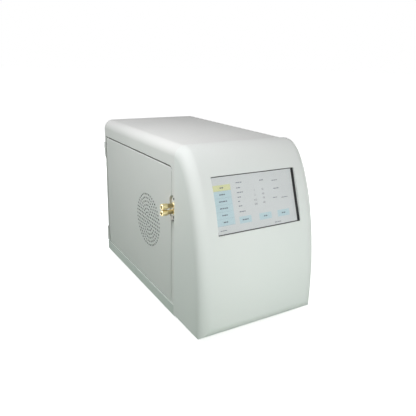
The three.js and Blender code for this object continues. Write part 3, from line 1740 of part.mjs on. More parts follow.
addPiece("reactor_tube", reactorTube(), steel);
addPiece("uv_lamp", uvLamp(), fluoroWhite);
addPiece("reactor_cap_rear", reactorCap(reactorStart, backward), fluoroWhite);
addPiece("reactor_cap_front", reactorCap(reactorEnd, forward), fluoroWhite);
addPiece("reactor_clamp_rear", reactorClamp(reactorStart + clampInset), steel);
addPiece("reactor_clamp_front", reactorClamp(reactorEnd - clampInset), steel);
addPiece("cell_bracket", cellBracket(), zincSheet);
addPiece("conductivity_cell_in", conductivityCell(cellInDepth), greyPlastic);
addPiece("conductivity_cell_out", conductivityCell(cellOutDepth), greyPlastic);

for (const [name, ends] of Object.entries(waterTubes)) addPiece(name, waterTube(...ends), siliconeHose);

addPiece("power_supply", powerSupply(), zincSheet);
addPiece("lamp_ballast", lampBallast(), greyPlastic);
addPiece("control_board", controlBoard(), boardGreen);
addPiece("display_ribbon", displayRibbon(), ribbonGrey);
addPiece("door_catch", doorCatch(), greyPlastic);
for (const [side, sign] of [
  ["left", -1],
  ["right", 1],
])
  for (const [end, depth] of [
    ["rear", footInset],
    ["front", hoodDepth - footInset],
  ])
    addPiece("foot_" + end + "_" + side, foot(sign * (hoodSide - footInset), depth), rubberBlack);

// The origin goes under the middle of the overall box.
const overall = new THREE.Box3().setFromObject(analyzer, true);
const middle = overall.getCenter(new THREE.Vector3());
casing.position.set(-middle.x, -middle.y, -overall.min.z);

export default analyzer;
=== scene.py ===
# %% [markdown]
# # A bench-top water analyzer
#
# The instrument is a folded steel case with a moulded front. Its construction is already packed as
# a frame of solids, one for each part. This lesson dresses that frame: it models the pieces that
# show again with fine edges, and gives every piece a finish. All lengths are in metres.

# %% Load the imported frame
import math

import bpy
from mathutils import Matrix, Vector


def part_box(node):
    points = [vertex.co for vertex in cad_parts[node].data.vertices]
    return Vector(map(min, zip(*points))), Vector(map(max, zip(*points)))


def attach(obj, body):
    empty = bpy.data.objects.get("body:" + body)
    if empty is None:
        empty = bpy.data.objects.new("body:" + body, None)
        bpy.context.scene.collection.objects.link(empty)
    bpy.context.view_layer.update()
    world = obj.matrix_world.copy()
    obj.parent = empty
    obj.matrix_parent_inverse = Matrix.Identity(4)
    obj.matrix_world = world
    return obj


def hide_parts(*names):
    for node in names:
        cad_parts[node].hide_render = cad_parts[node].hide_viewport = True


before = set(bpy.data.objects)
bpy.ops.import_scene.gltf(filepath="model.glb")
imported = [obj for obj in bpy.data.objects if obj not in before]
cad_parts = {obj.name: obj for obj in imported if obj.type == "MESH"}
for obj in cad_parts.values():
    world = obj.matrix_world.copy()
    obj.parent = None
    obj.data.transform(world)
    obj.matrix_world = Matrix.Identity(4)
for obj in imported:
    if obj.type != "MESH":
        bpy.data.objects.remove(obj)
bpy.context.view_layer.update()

# %% [markdown]
# ## Working by hand, in code
#
# An operator acts on whatever is selected, and loading leaves everything selected. So each helper
# first clears the selection. A finished piece has its place in its mesh, and its object sits at
# the origin, so that a pattern on object coordinates lies still.

# %% Selecting, settling and modifiers
MM = 0.001
LEFT, BACK, UP = Vector((-1, 0, 0)), Vector((0, 1, 0)), Vector((0, 0, 1))
SIDES = (-1, 1)


def deselect():
    if bpy.context.mode != "OBJECT":
        bpy.ops.object.mode_set(mode="OBJECT")
    bpy.ops.object.select_all(action="DESELECT")


def pick(*pieces):
    deselect()
    for piece in pieces:
        piece.select_set(True)
    bpy.context.view_layer.objects.active = pieces[0]
    return pieces[0]


def settle(piece):
    pick(piece)
    bpy.ops.object.transform_apply(location=True, rotation=True, scale=True)
    return piece


def modify(piece, kind, **settings):
    pick(piece)
    modifier = piece.modifiers.new(kind.lower(), kind)
    for name, value in settings.items():
        setattr(modifier, name, value)
    bpy.ops.object.modifier_apply(modifier=modifier.name)
    return piece


def join(*pieces):
    if len(pieces) > 1:
        pick(*pieces)
        bpy.ops.object.join()
    return pieces[0]


def copy_of(piece, name):
    twin = piece.copy()
    twin.data = piece.data.copy()
    twin.name = name
    bpy.context.scene.collection.objects.link(twin)
    twin.location = (0, 0, 0)
    return settle(twin)


# %% [markdown]
# Booleans stand in for the punch and the mill: a cutter is made, used once and thrown away. The
# cutters of one piece are joined first, so that a plate with many holes is cut only once. Tools
# that overlap each other go in one after the other, as an exact boolean wants clean shells.

# %% Cutting, welding and selecting
def combine(piece, operation, others):
    tool = join(*others)
    modify(piece, "BOOLEAN", operation=operation, solver="EXACT", object=tool)
    bpy.data.objects.remove(tool)
    return piece


def cut(piece, *others):
    return combine(piece, "DIFFERENCE", others)


def weld(piece, *others):
    return combine(piece, "UNION", others)


def keep_inside(piece, other):
    return combine(piece, "INTERSECT", [other])


def select_in_edit(piece, kind, wanted):
    """Enters edit mode with only the faces or edges selected that wanted() picks."""
    pick(piece)
    bpy.ops.object.mode_set(mode="EDIT")
    bpy.ops.mesh.select_mode(type=kind)
    bpy.ops.mesh.select_all(action="DESELECT")
    bpy.ops.object.mode_set(mode="OBJECT")
    mesh = piece.data
    if kind == "FACE":
        for face in mesh.polygons:
            face.select = wanted(face.center, face.normal)
    else:
        for edge in mesh.edges:
            edge.select = wanted(*[mesh.vertices[i].co for i in edge.vertices])
    bpy.ops.object.mode_set(mode="EDIT")


def bevel_where(piece, radius, segments, wanted):
    select_in_edit(piece, "EDGE", wanted)
    bpy.ops.mesh.bevel(offset=radius, segments=segments, affect="EDGES", clamp_overlap=False)
    bpy.ops.object.mode_set(mode="OBJECT")
    return piece


def delete_faces(piece, wanted):
    select_in_edit(piece, "FACE", wanted)
    bpy.ops.mesh.delete(type="FACE")
    bpy.ops.object.mode_set(mode="OBJECT")
    return piece


def near(a, b, reach=0.01 * MM):
    return abs(a - b) < reach


# %% [markdown]
# Sheet and mouldings never have a knife edge. Every finished piece gets a fine bevel on the edges
# that are sharper than the facets of its curves, and normals weighted by face area, so that the
# flat faces stay flat right up to the bevel.

# %% Fine edges
def round_edges(piece, radius, segments=2, angle=math.radians(32)):
    return modify(
        piece, "BEVEL", width=radius, segments=segments, limit_method="ANGLE", angle_limit=angle,
        use_clamp_overlap=True, miter_outer="MITER_ARC" if segments > 2 else "MITER_SHARP",
    )


def clean(piece, merge=0.002 * MM):
    pick(piece)
    bpy.ops.object.mode_set(mode="EDIT")
    bpy.ops.mesh.select_all(action="SELECT")
    bpy.ops.mesh.remove_doubles(threshold=merge)
    bpy.ops.mesh.dissolve_limited(angle_limit=math.radians(0.3))
    bpy.ops.mesh.normals_make_consistent(inside=False)
    bpy.ops.object.mode_set(mode="OBJECT")
    return piece


def smooth(piece, angle=math.radians(35)):
    pick(piece)
    bpy.ops.object.shade_smooth_by_angle(angle=angle)
    return modify(piece, "WEIGHTED_NORMAL", keep_sharp=True, weight=80)


def finish(piece, look, body, *nodes, slot):
    """Hands a settled piece its look and its body, and hides the solids that it stands for."""
    piece.data.materials.clear()
    piece.data.materials.append(look)
    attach(piece, body)
    if nodes:
        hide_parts(*nodes)
    print(f"{piece.name}: {len(piece.data.polygons)} faces on {body}")
    return piece


# %% [markdown]
# Most pieces start as a block, a round-ended slot, a rod or a turned profile. The turned profile
# starts as a circle with one vertex for each row, whose vertices are then moved onto the rows
# and spun round the axis.

# %% Starting shapes
def add_block(name, low, high):
    low, high = Vector(low), Vector(high)
    deselect()
    bpy.ops.mesh.primitive_cube_add(size=1, location=(low + high) / 2, scale=high - low)
    piece = bpy.context.object
    piece.name = name
    return settle(piece)


def add_rod(name, start, end, radius, sides=48):
    start, end = Vector(start), Vector(end)
    deselect()
    turn = (end - start).to_track_quat("Z", "Y").to_euler()
    bpy.ops.mesh.primitive_cylinder_add(
        vertices=sides, radius=radius, depth=(end - start).length,
        location=(start + end) / 2, rotation=turn,
    )
    piece = bpy.context.object
    piece.name = name
    return settle(piece)


def along_x(a, b):
    return near(a.y, b.y) and near(a.z, b.z)


def add_slot(name, x_range, centre, width, height):
    """A plate across X with rounded corners, drawn in the YZ plane."""
    y, z = centre
    low = (x_range[0], y - width / 2, z - height / 2)
    high = (x_range[1], y + width / 2, z + height / 2)
    piece = add_block(name, low, high)
    corner = min(width, height) / 2 - 0.005 * MM
    return bevel_where(piece, corner, 12, along_x)


def add_turned(name, rows, origin, axis, sides=64):
    """Spins rows of (radius, height) round an axis. The rows close on themselves."""
    deselect()
    bpy.ops.mesh.primitive_circle_add(vertices=len(rows), radius=1, fill_type="NOTHING")
    piece = bpy.context.object
    piece.name = name
    for vertex, (radius, height) in zip(piece.data.vertices, rows):
        vertex.co = (radius, 0, height)
    bpy.ops.object.mode_set(mode="EDIT")
    bpy.ops.mesh.select_all(action="SELECT")
    bpy.ops.mesh.spin(steps=sides, angle=math.tau, center=(0, 0, 0), axis=(0, 0, 1))
    bpy.ops.mesh.select_all(action="SELECT")
    bpy.ops.mesh.remove_doubles(threshold=0.001 * MM)
    bpy.ops.mesh.delete_loose()
    bpy.ops.mesh.select_all(action="SELECT")
    bpy.ops.mesh.normals_make_consistent(inside=False)
    bpy.ops.object.mode_set(mode="OBJECT")
    piece.rotation_euler = Vector(axis).to_track_quat("Z", "Y").to_euler()
    piece.location = origin
    return settle(piece)


# %% [markdown]
# ## Finishes
#
# Paint, moulded plastic and metal share the same few effects: a slow change of tone, a fine
# grain, wear along the edges, which on the pale paints is mostly a painted highlight, settled
# dust, and the streaks that rolling or turning leaves. Each effect is a node group with named
# sockets, built once. The groups give only masks and heights, and the shader stays in each
# material.

# %% Node helpers
def add_node(tree, kind, inputs=None, **settings):
    node = tree.nodes.new("ShaderNode" + kind)
    for name, value in settings.items():
        setattr(node, name, value)
    for socket, value in (inputs or {}).items():
        if isinstance(value, bpy.types.NodeSocket):
            tree.links.new(value, node.inputs[socket])
        else:
            node.inputs[socket].default_value = value
    return node


def maths(tree, operation, a, b=0.0, clamp=False):
    return add_node(tree, "Math", {0: a, 1: b}, operation=operation, use_clamp=clamp).outputs[0]


def spread(tree, value, low, high, to_low=0.0, to_high=1.0):
    ranges = {"Value": value, 1: low, 2: high, 3: to_low, 4: to_high}
    return add_node(tree, "MapRange", ranges, clamp=True).outputs["Result"]


def new_group(name, inputs, outputs):
    """A node group whose inputs are given as (name, kind, default)."""
    tree = bpy.data.node_groups.new(name, "ShaderNodeTree")
    for label, kind, default in inputs:
        socket = tree.interface.new_socket(label, in_out="INPUT", socket_type="NodeSocket" + kind)
        socket.default_value = default
    for label, kind in outputs:
        tree.interface.new_socket(label, in_out="OUTPUT", socket_type="NodeSocket" + kind)
    given = tree.nodes.new("NodeGroupInput").outputs
    result = tree.nodes.new("NodeGroupOutput").inputs
    return tree, given, result


def object_place(tree, size):
    """Object coordinates divided by a size socket, so that a pattern is given in metres."""
    place = add_node(tree, "TexCoord").outputs["Object"]
    inverse = maths(tree, "DIVIDE", 1.0, size)
    scaled = add_node(tree, "VectorMath", {0: place, "Scale": inverse}, operation="SCALE")
    return scaled.outputs["Vector"]


def noise(tree, place, detail=2.0, roughness=0.5, **settings):
    inputs = {"Vector": place, "Scale": 1.0, "Detail": detail, "Roughness": roughness}
    return add_node(tree, "TexNoise", inputs, **settings).outputs["Fac"]


# %% [markdown]
# The three patterns start from one noise each. Tone is a slow cloud, a hand's breadth across.
# Grain is as fine as the skin of a powder coat. Streaks are the same grain drawn out along one
# way, because rolled sheet and turned rod carry the marks of the tool in that way only.

# %% Tone, grain and streaks
def make_tone_group():
    tree, given, result = new_group(
        "soft_tone", [("Size", "Float", 0.12), ("Contrast", "Float", 1.6)], [("Mask", "Float")]
    )
    cloud = noise(tree, object_place(tree, given["Size"]), detail=3.0)
    swing = maths(tree, "MULTIPLY", maths(tree, "SUBTRACT", cloud, 0.5), given["Contrast"])
    tree.links.new(maths(tree, "ADD", swing, 0.5, clamp=True), result["Mask"])
    return tree


def make_grain_group():
    tree, given, result = new_group(
        "fine_grain", [("Size", "Float", 0.001)], [("Height", "Float"), ("Mask", "Float")]
    )
    place = object_place(tree, given["Size"])
    coarse = noise(tree, place, detail=2.0, roughness=0.6)
    fine = noise(tree, place, detail=5.0, roughness=0.7, noise_type="FBM")
    most, rest = maths(tree, "MULTIPLY", coarse, 0.65), maths(tree, "MULTIPLY", fine, 0.35)
    height = maths(tree, "ADD", most, rest)
    tree.links.new(height, result["Height"])
    tree.links.new(spread(tree, coarse, 0.3, 0.7), result["Mask"])
    return tree


def make_streak_group():
    tree, given, result = new_group(
        "streaks",
        [("Size", "Float", 0.0006), ("Stretch", "Vector", (1.0, 1.0, 0.02))],
        [("Height", "Float"), ("Mask", "Float")],
    )
    place = object_place(tree, given["Size"])
    stretched = add_node(tree, "VectorMath", {0: place, 1: given["Stretch"]}, operation="MULTIPLY")
    lines = noise(tree, stretched.outputs["Vector"], detail=3.0, roughness=0.65)
    tree.links.new(lines, result["Height"])
    tree.links.new(spread(tree, lines, 0.32, 0.68), result["Mask"])
    return tree


# %% [markdown]
# Wear sits where hands and cloths rub. On the pale paints and the moulding the same edge mask
# lays a near-white edge colour, mostly a painted highlight along the edges. A bevel node gives
# the normal that a rounded edge would have, and where it departs from the true normal there is
# an edge. Dust settles on faces that look up. Both are broken up by noise, because neither is
# even on a real case.

# %% Worn edges with painted highlights, and dust
def make_wear_group():
    tree, given, result = new_group(
        "edge_wear", [("Radius", "Float", 0.0008), ("Amount", "Float", 0.5)], [("Mask", "Float")]
    )
    true_normal = add_node(tree, "NewGeometry").outputs["Normal"]
    soft_normal = add_node(tree, "Bevel", {"Radius": given["Radius"]}, samples=4).outputs["Normal"]
    agree = add_node(tree, "VectorMath", {0: true_normal, 1: soft_normal}, operation="DOT_PRODUCT")
    edge = spread(tree, maths(tree, "SUBTRACT", 1.0, agree.outputs["Value"]), 0.02, 0.22)
    patches = noise(tree, object_place(tree, 0.006), detail=4.0, roughness=0.6)
    broken = maths(tree, "MULTIPLY", edge, spread(tree, patches, 0.35, 0.65, 0.25, 1.0))
    tree.links.new(maths(tree, "MULTIPLY", broken, given["Amount"], clamp=True), result["Mask"])
    return tree


def make_dust_group():
    tree, given, result = new_group(
        "settled_dust", [("Amount", "Float", 0.3)], [("Mask", "Float")]
    )
    normal = add_node(tree, "NewGeometry").outputs["Normal"]
    facing_up = add_node(tree, "SeparateXYZ", {0: normal}).outputs["Z"]
    level = spread(tree, facing_up, 0.55, 0.98)
    specks = spread(tree, noise(tree, object_place(tree, 0.004), detail=6.0), 0.42, 0.72)
    film = maths(tree, "MULTIPLY", level, specks)
    tree.links.new(maths(tree, "MULTIPLY", film, given["Amount"], clamp=True), result["Mask"])
    return tree


groups = {
    "tone": make_tone_group(),
    "grain": make_grain_group(),
    "streaks": make_streak_group(),
    "wear": make_wear_group(),
    "dust": make_dust_group(),
}
print("effects:", ", ".join(sorted(groups)))

# %% [markdown]
# A colour is written as it is read off a screen, from 0 to 255, and turned into the linear value
# that the shader mixes. One function builds the opaque finishes: it lays tone, dust and a lighter
# edge colour over the base colour, and drives roughness and bump from the grain or the streaks.
# The edge colour is wear, and on the pale paints mostly a painted highlight.

# %% Opaque finishes
def rgb(red, green, blue):
    def linear(level):
        share = level / 255
        return share / 12.92 if share <= 0.04045 else ((share + 0.055) / 1.055) ** 2.4

    return (linear(red), linear(green), linear(blue), 1.0)


def use_group(tree, name, **inputs):
    node = tree.nodes.new("ShaderNodeGroup")
    node.node_tree = groups[name]
    for socket, value in inputs.items():
        node.inputs[socket].default_value = value
    return node.outputs


def mix_colours(tree, mask, under, over):
    node = add_node(tree, "Mix", data_type="RGBA")
    for socket, value in ((0, mask), (6, under), (7, over)):
        if isinstance(value, bpy.types.NodeSocket):
            tree.links.new(value, node.inputs[socket])
        else:
            node.inputs[socket].default_value = value
    return node.outputs[2]


def new_material(name):
    material = bpy.data.materials.new(name)
    material.use_nodes = True
    tree = material.node_tree
    return material, tree, tree.nodes["Principled BSDF"]


DUST_COLOUR = rgb(176, 172, 162)
ROUGHNESS_SWING = 0.08


def opaque(
    name, base, shade, rough, grain_size, grain_depth, *, metallic=0.0, tone_size=0.11, worn=None,
    wear=0.0, wear_radius=0.7 * MM, dust=0.0, stretch=None, coat=0.0, gleam=0.5,
):
    """A finish whose colour, roughness and bump come from the shared effects."""
    material, tree, shader = new_material(name)
    tone = use_group(tree, "tone", Size=tone_size)["Mask"]
    colour = mix_colours(tree, tone, base, shade)
    if stretch:
        texture = use_group(tree, "streaks", Size=grain_size, Stretch=stretch)
    else:
        texture = use_group(tree, "grain", Size=grain_size)
    smoothest, roughest = rough - ROUGHNESS_SWING, rough + ROUGHNESS_SWING
    roughness = spread(tree, texture["Mask"], 0.0, 1.0, smoothest, roughest)
    if dust:
        film = use_group(tree, "dust", Amount=dust)["Mask"]
        colour = mix_colours(tree, film, colour, DUST_COLOUR)
        roughness = maths(tree, "ADD", roughness, maths(tree, "MULTIPLY", film, 0.25), clamp=True)
    # The edge colour is wear on most finishes and a painted highlight on the pale paints.
    if wear:
        edge = use_group(tree, "wear", Radius=wear_radius, Amount=wear)["Mask"]
        colour = mix_colours(tree, edge, colour, worn)
        roughness = maths(tree, "ADD", roughness, maths(tree, "MULTIPLY", edge, 0.12), clamp=True)
    bump = add_node(
        tree, "Bump", {"Height": texture["Height"], "Distance": grain_depth, "Strength": 1.0}
    )
    tree.links.new(colour, shader.inputs["Base Color"])
    tree.links.new(roughness, shader.inputs["Roughness"])
    tree.links.new(bump.outputs["Normal"], shader.inputs["Normal"])
    shader.inputs["Metallic"].default_value = metallic
    shader.inputs["Coat Weight"].default_value = coat
    shader.inputs["Specular IOR Level"].default_value = gleam
    return material


# %% [markdown]
# The hood and the door have a fine-textured powder coat, the front is a satin moulding, and the
# tray is painted a shade darker. Their near-white edges are mostly a painted highlight along the
# folds and rims, with a little wear.

# %% Case finishes
looks = {}


def add_look(name, *recipe, **extras):
    looks[name] = opaque(name, *recipe, **extras)


# The near-white edge colours of the three pale finishes below are a painted highlight.
add_look(
    "case_paint", rgb(227, 227, 226), rgb(221, 223, 221), 0.6, 0.9 * MM, 0.035 * MM,
    worn=rgb(250, 250, 249), wear=0.9, wear_radius=1.1 * MM, dust=0.06, tone_size=0.16, gleam=0.1,
)
add_look(
    "tray_paint", rgb(212, 219, 214), rgb(204, 212, 207), 0.48, 0.9 * MM, 0.035 * MM,
    worn=rgb(240, 243, 240), wear=0.6, dust=0.1, tone_size=0.12, gleam=0.1,
)
add_look(
    "moulding", rgb(229, 231, 229), rgb(224, 228, 226), 0.5, 0.45 * MM, 0.012 * MM,
    worn=rgb(252, 253, 252), wear=1.0, wear_radius=1.1 * MM, dust=0.04, tone_size=0.2, gleam=0.15,
)
add_look(
    "black_plastic", rgb(30, 31, 32), rgb(38, 39, 41), 0.5, 0.4 * MM, 0.02 * MM,
    worn=rgb(84, 85, 86), wear=0.3, dust=0.12,
)
add_look(
    "rocker_plastic", rgb(22, 22, 24), rgb(30, 30, 32), 0.28, 0.5 * MM, 0.006 * MM,
    worn=rgb(70, 70, 72), wear=0.25, coat=0.3,
)
add_look(
    "grey_plastic", rgb(98, 102, 106), rgb(86, 90, 94), 0.5, 0.5 * MM, 0.02 * MM,
    worn=rgb(136, 140, 144), wear=0.3, dust=0.12,
)
add_look(
    "rubber", rgb(34, 34, 34), rgb(46, 45, 44), 0.78, 0.7 * MM, 0.05 * MM,
    worn=rgb(90, 88, 84), wear=0.4, dust=0.25,
)
add_look(
    "fluoropolymer", rgb(236, 238, 238), rgb(226, 229, 230), 0.34, 0.6 * MM, 0.01 * MM,
    worn=rgb(246, 246, 246), wear=0.2, dust=0.08,
)
add_look(
    "silicone", rgb(226, 223, 210), rgb(214, 210, 194), 0.36, 0.8 * MM, 0.015 * MM, dust=0.1,
)
add_look(
    "ribbon", rgb(150, 153, 158), rgb(136, 139, 144), 0.5, 0.6 * MM, 0.03 * MM,
    stretch=(1.0, 1.0, 0.05),
)
print("paints and plastics:", len(looks))

# %% [markdown]
# Bright metals differ by how they were made. Rolled and zinc-plated sheet has long faint streaks,
# the turned brass has rings round its axis, which the streak group draws when it is stretched
# across the axis.

# %% Metal finishes
ALONG_Y = (1.0, 0.03, 1.0)
ALONG_Z = (1.0, 1.0, 0.03)
RINGS_ROUND_X = (1.0, 0.02, 0.02)

add_look(
    "zinc_sheet", rgb(184, 188, 190), rgb(168, 173, 177), 0.42, 0.7 * MM, 0.012 * MM,
    metallic=0.85, tone_size=0.05, stretch=ALONG_Z, worn=rgb(206, 208, 209), wear=0.3, dust=0.15,
)
add_look(
    "steel", rgb(203, 205, 206), rgb(190, 193, 195), 0.3, 0.5 * MM, 0.008 * MM,
    metallic=1.0, tone_size=0.04, stretch=ALONG_Y, worn=rgb(228, 229, 230), wear=0.4,
)
add_look(
    "motor_steel", rgb(166, 169, 172), rgb(150, 153, 156), 0.36, 0.5 * MM, 0.01 * MM,
    metallic=1.0, tone_size=0.05, stretch=RINGS_ROUND_X, worn=rgb(196, 198, 200), wear=0.3,
)
add_look(
    "display_case", rgb(190, 193, 194), rgb(176, 179, 181), 0.38, 0.6 * MM, 0.01 * MM,
    metallic=0.9, tone_size=0.06, stretch=ALONG_Y, worn=rgb(214, 215, 216), wear=0.3,
)
add_look(
    "brass", rgb(240, 226, 180), rgb(226, 208, 156), 0.3, 0.35 * MM, 0.01 * MM,
    metallic=1.0, tone_size=0.012, stretch=RINGS_ROUND_X, worn=rgb(244, 232, 190), wear=0.5,
    wear_radius=0.4 * MM,
)
print("finishes so far:", len(looks))

# %% [markdown]
# Glass and clear plastic let the light through, so they get their own short recipe. A slow haze
# keeps them from looking perfect, and the lamp's quartz is a touch violet.

# %% Clear finishes
def clear(name, tint, rough, ior, smear):
    material, tree, shader = new_material(name)
    haze = use_group(tree, "tone", Size=0.05, Contrast=2.0)["Mask"]
    duller = (*[0.97 * level for level in tint[:3]], 1.0)
    tree.links.new(mix_colours(tree, haze, tint, duller), shader.inputs["Base Color"])
    tree.links.new(spread(tree, haze, 0.0, 1.0, rough, rough + smear), shader.inputs["Roughness"])
    shader.inputs["Transmission Weight"].default_value = 1.0
    shader.inputs["IOR"].default_value = ior
    return material


for name, tint, rough, ior, smear in (
    ("screen_glass", rgb(250, 252, 252), 0.02, 1.2, 0.03),
    ("clear_plastic", rgb(240, 246, 247), 0.06, 1.3, 0.08),
    ("lamp_glass", rgb(236, 232, 250), 0.05, 1.45, 0.1),
):
    looks[name] = clear(name, tint, rough, ior, smear)
    print(f"{name}: ior {ior}")

# %% [markdown]
# A circuit board is green lacquer over copper. The tracks are thin bands of a brick pattern: they
# stand slightly proud and show paler through the lacquer.

# %% Circuit board
def make_board_look():
    material, tree, shader = new_material("circuit_board")
    place = add_node(tree, "TexCoord").outputs["Object"]
    across = add_node(tree, "SeparateXYZ", {0: place})
    flat = add_node(tree, "CombineXYZ", {"X": across.outputs["Y"], "Y": across.outputs["Z"]})
    tracks = add_node(
        tree, "TexBrick",
        {"Vector": flat.outputs[0], "Scale": 90.0, "Mortar Size": 0.05, "Mortar Smooth": 0.3,
         "Brick Width": 0.9, "Row Height": 0.22},
    ).outputs["Fac"]
    tone = use_group(tree, "tone", Size=0.03)["Mask"]
    lacquer = mix_colours(tree, tone, rgb(22, 92, 58), rgb(18, 78, 50))
    colour = mix_colours(tree, tracks, lacquer, rgb(58, 132, 84))
    bump = add_node(tree, "Bump", {"Height": tracks, "Distance": 0.05 * MM, "Strength": 1.0})
    tree.links.new(colour, shader.inputs["Base Color"])
    tree.links.new(spread(tree, tone, 0.0, 1.0, 0.28, 0.4), shader.inputs["Roughness"])
    tree.links.new(bump.outputs["Normal"], shader.inputs["Normal"])
    return material


looks["circuit_board"] = make_board_look()
print("all finishes:", len(looks))

# %% [markdown]
# ## The hood
#
# One sheet makes the top and both sides: it is folded over two long rounded corners. A block of
# the hood's size gets those two rounds, loses its foot and both ends, and is thickened inward.
# The door opening is cut with a rounded corner, and its edge is turned in all round as a fold.

# %% Measuring the frame
SHEET = 1.5 * MM
THROUGH_SIDE = (-5 * MM, 20 * MM)


def span(node):
    low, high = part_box(node)
    return Vector(low), Vector(high)


def side_slab(name, x_range, y_range, z_range, radius):
    """A slab across X whose front upper corner is rounded."""
    low, high = [Vector(corner) for corner in zip(x_range, y_range, z_range)]

    def front_top(a, b):
        return along_x(a, b) and near(a.y, low.y) and near(a.z, high.z)

    return bevel_where(add_block(name, low, high), radius, 12, front_top)


hood_low, hood_high = span("hood")
left_x = hood_low.x
rear_y, seam_y = hood_high.y, hood_low.y
opening_y = (seam_y + 18 * MM, rear_y - 7.5 * MM)
opening_top = hood_high.z - 41.4 * MM
recess = (seam_y + 15 * MM, hood_high.z - 126 * MM)

print("door opening:", [round(y / MM, 1) for y in opening_y], "up to", round(opening_top / MM, 1))

# %% [markdown]
# The same rounded cutter opens the sheet and then hollows the fold, so the two always agree. The
# shelf above the opening is the fold's upper wall, which stiffens the long edge.

# %% Hood
RECESS_SIZE = (26 * MM, 54 * MM)


def door_hole():
    x_range = (left_x + THROUGH_SIDE[0], left_x + THROUGH_SIDE[1])
    return side_slab("opening", x_range, opening_y, (0, opening_top), 10 * MM)


def upper_border(level):
    """Picks the borders that run along the depth at a level."""
    return lambda a, b: near(a.z, level) and near(b.z, a.z) and near(a.x, b.x)


hood = add_block("hood_sheet", hood_low, hood_high)
bevel_where(hood, 22 * MM, 20, upper_border(hood_high.z))
delete_faces(hood, lambda centre, normal: normal.z < -0.9 or abs(normal.y) > 0.9)
modify(hood, "SOLIDIFY", thickness=SHEET, offset=-1, use_even_offset=True)
cut(hood, door_hole())

fold_y = (opening_y[0] - SHEET, opening_y[1] + SHEET)
fold = side_slab(
    "fold", (left_x + 1 * MM, left_x + 11.5 * MM), fold_y, (hood_low.z, opening_top + SHEET),
    11.5 * MM,
)
cut(fold, door_hole())
shelf = add_block(
    "shelf", (left_x + 10 * MM, fold_y[0] + 14 * MM, opening_top + 0.01 * MM),
    (left_x + 26.5 * MM, fold_y[1] - 2 * MM, opening_top + SHEET - 0.01 * MM),
)
weld(hood, weld(fold, shelf))
cut(hood, add_slot("bite", (left_x - 5 * MM, left_x + 16 * MM), recess, *RECESS_SIZE))
clean(hood)
round_edges(hood, 0.35 * MM, 2)
smooth(hood)
finish(hood, looks["case_paint"], "casing", "hood", slot="case_paint")

# %% [markdown]
# ## The service door
#
# The door is a shallow pan: a flat face with its edges folded in. The vent is seven rings of
# round holes with six more in each ring, so the holes stay evenly spread without a grid's
# corners. A bite in the front edge clears the water ports and is hemmed by its own fold.

# %% Door
door_low, door_high = span("side_door")
vent_centre = (recess[0] + 120 * MM, 178.5 * MM)
RINGS, RING_PITCH, HOLE_RADIUS = 7, 8.3, 2.15 * MM


def vent_places():
    places = [vent_centre]
    for ring in range(1, RINGS + 1):
        for step in range(6 * ring):
            angle = math.tau * step / (6 * ring)
            reach = ring * RING_PITCH * MM
            y, z = vent_centre
            places.append((y - reach * math.cos(angle), z + reach * math.sin(angle)))
    return places


door = side_slab("door_pan", *zip(door_low, door_high), 8 * MM)
delete_faces(door, lambda centre, normal: normal.x > 0.9)
bevel_where(door, 1.6 * MM, 4, lambda a, b: near(a.x, door_low.x) and near(b.x, door_low.x))
modify(door, "SOLIDIFY", thickness=SHEET, offset=-1, use_even_offset=True)
hem = add_slot("hem", (door_low.x + 0.5 * MM, door_high.x), recess, 29 * MM, 57 * MM)
keep_inside(hem, add_block("limit", (-1, door_low.y + 0.5 * MM, 0), (1, 0, 1)))
weld(door, hem)
cut(door, add_slot("bite", (door_low.x - 5 * MM, door_high.x + 5 * MM), recess, *RECESS_SIZE))
drills = [
    add_rod("drill", (door_low.x - 3 * MM, y, z), (door_low.x + 4 * MM, y, z), HOLE_RADIUS, 20)
    for y, z in vent_places()
]
print("vent holes:", len(drills))
cut(door, *drills)
clean(door)
round_edges(door, 0.3 * MM, 2)
smooth(door)
finish(door, looks["case_paint"], "door", "side_door", slot="case_paint")

# %% [markdown]
# The walls of the vent's holes get a second, darker paint: painted shade, which makes the holes
# read dark. A thin dark rubber strip on the edge of the door is painted shade too: it makes the
# gap look dark.

# %% Painted shade in the vent holes and the door's gap
# A darker paint for the walls of the vent's holes: painted shade.
hole_shade_paint = opaque(
    "hole_shade_paint", rgb(104, 108, 104), rgb(80, 84, 81), 0.8, 0.6 * MM, 0.03 * MM, tone_size=0.004,
)
door.data.materials.append(hole_shade_paint)
vent_reach = (RINGS + 0.5) * RING_PITCH * MM
# Faces inside the vent's holes take the painted shade.
for face in door.data.polygons:
    out = Vector((face.center.y - vent_centre[0], face.center.z - vent_centre[1])).length
    if out < vent_reach and abs(face.normal.x) < 0.4 and face.center.x < door_low.x + SHEET:
        face.material_index = 1
print("shade-painted faces:", sum(face.material_index for face in door.data.polygons))

# A dark rubber strip along the door's edge, put in as painted shade so that the gap looks dark.
gap_shade_seal_x = (door_low.x + 1.0 * MM, door_low.x + 8.5 * MM)
gap_shade_seal_y = (door_low.y - 0.9 * MM, door_high.y - 14 * MM)
gap_shade_seal = side_slab("door_gap_shade_seal", gap_shade_seal_x, gap_shade_seal_y, (door_low.z + 4 * MM, door_high.z + 1.4 * MM), 9 * MM)
inner_y = (door_low.y + 0.05 * MM, door_high.y)
cut(gap_shade_seal, side_slab("inside", (-1, 1), inner_y, (0, door_high.z - 0.15 * MM), 8 * MM))
cut(gap_shade_seal, add_slot("bite", (left_x, left_x + 16 * MM), recess, 30 * MM, 58 * MM))
round_edges(clean(gap_shade_seal), 0.3 * MM, 2)
finish(smooth(gap_shade_seal), looks["rubber"], "door", slot="rubber")

# %% [markdown]
# ## The front moulding
#
# Seen from the side the front is upright at its foot, then one long convex curve runs back to
# the hood. The curve is written as a Bezier with four control points, because four points are
# enough for one even sweep and can be matched to a photograph one by one.

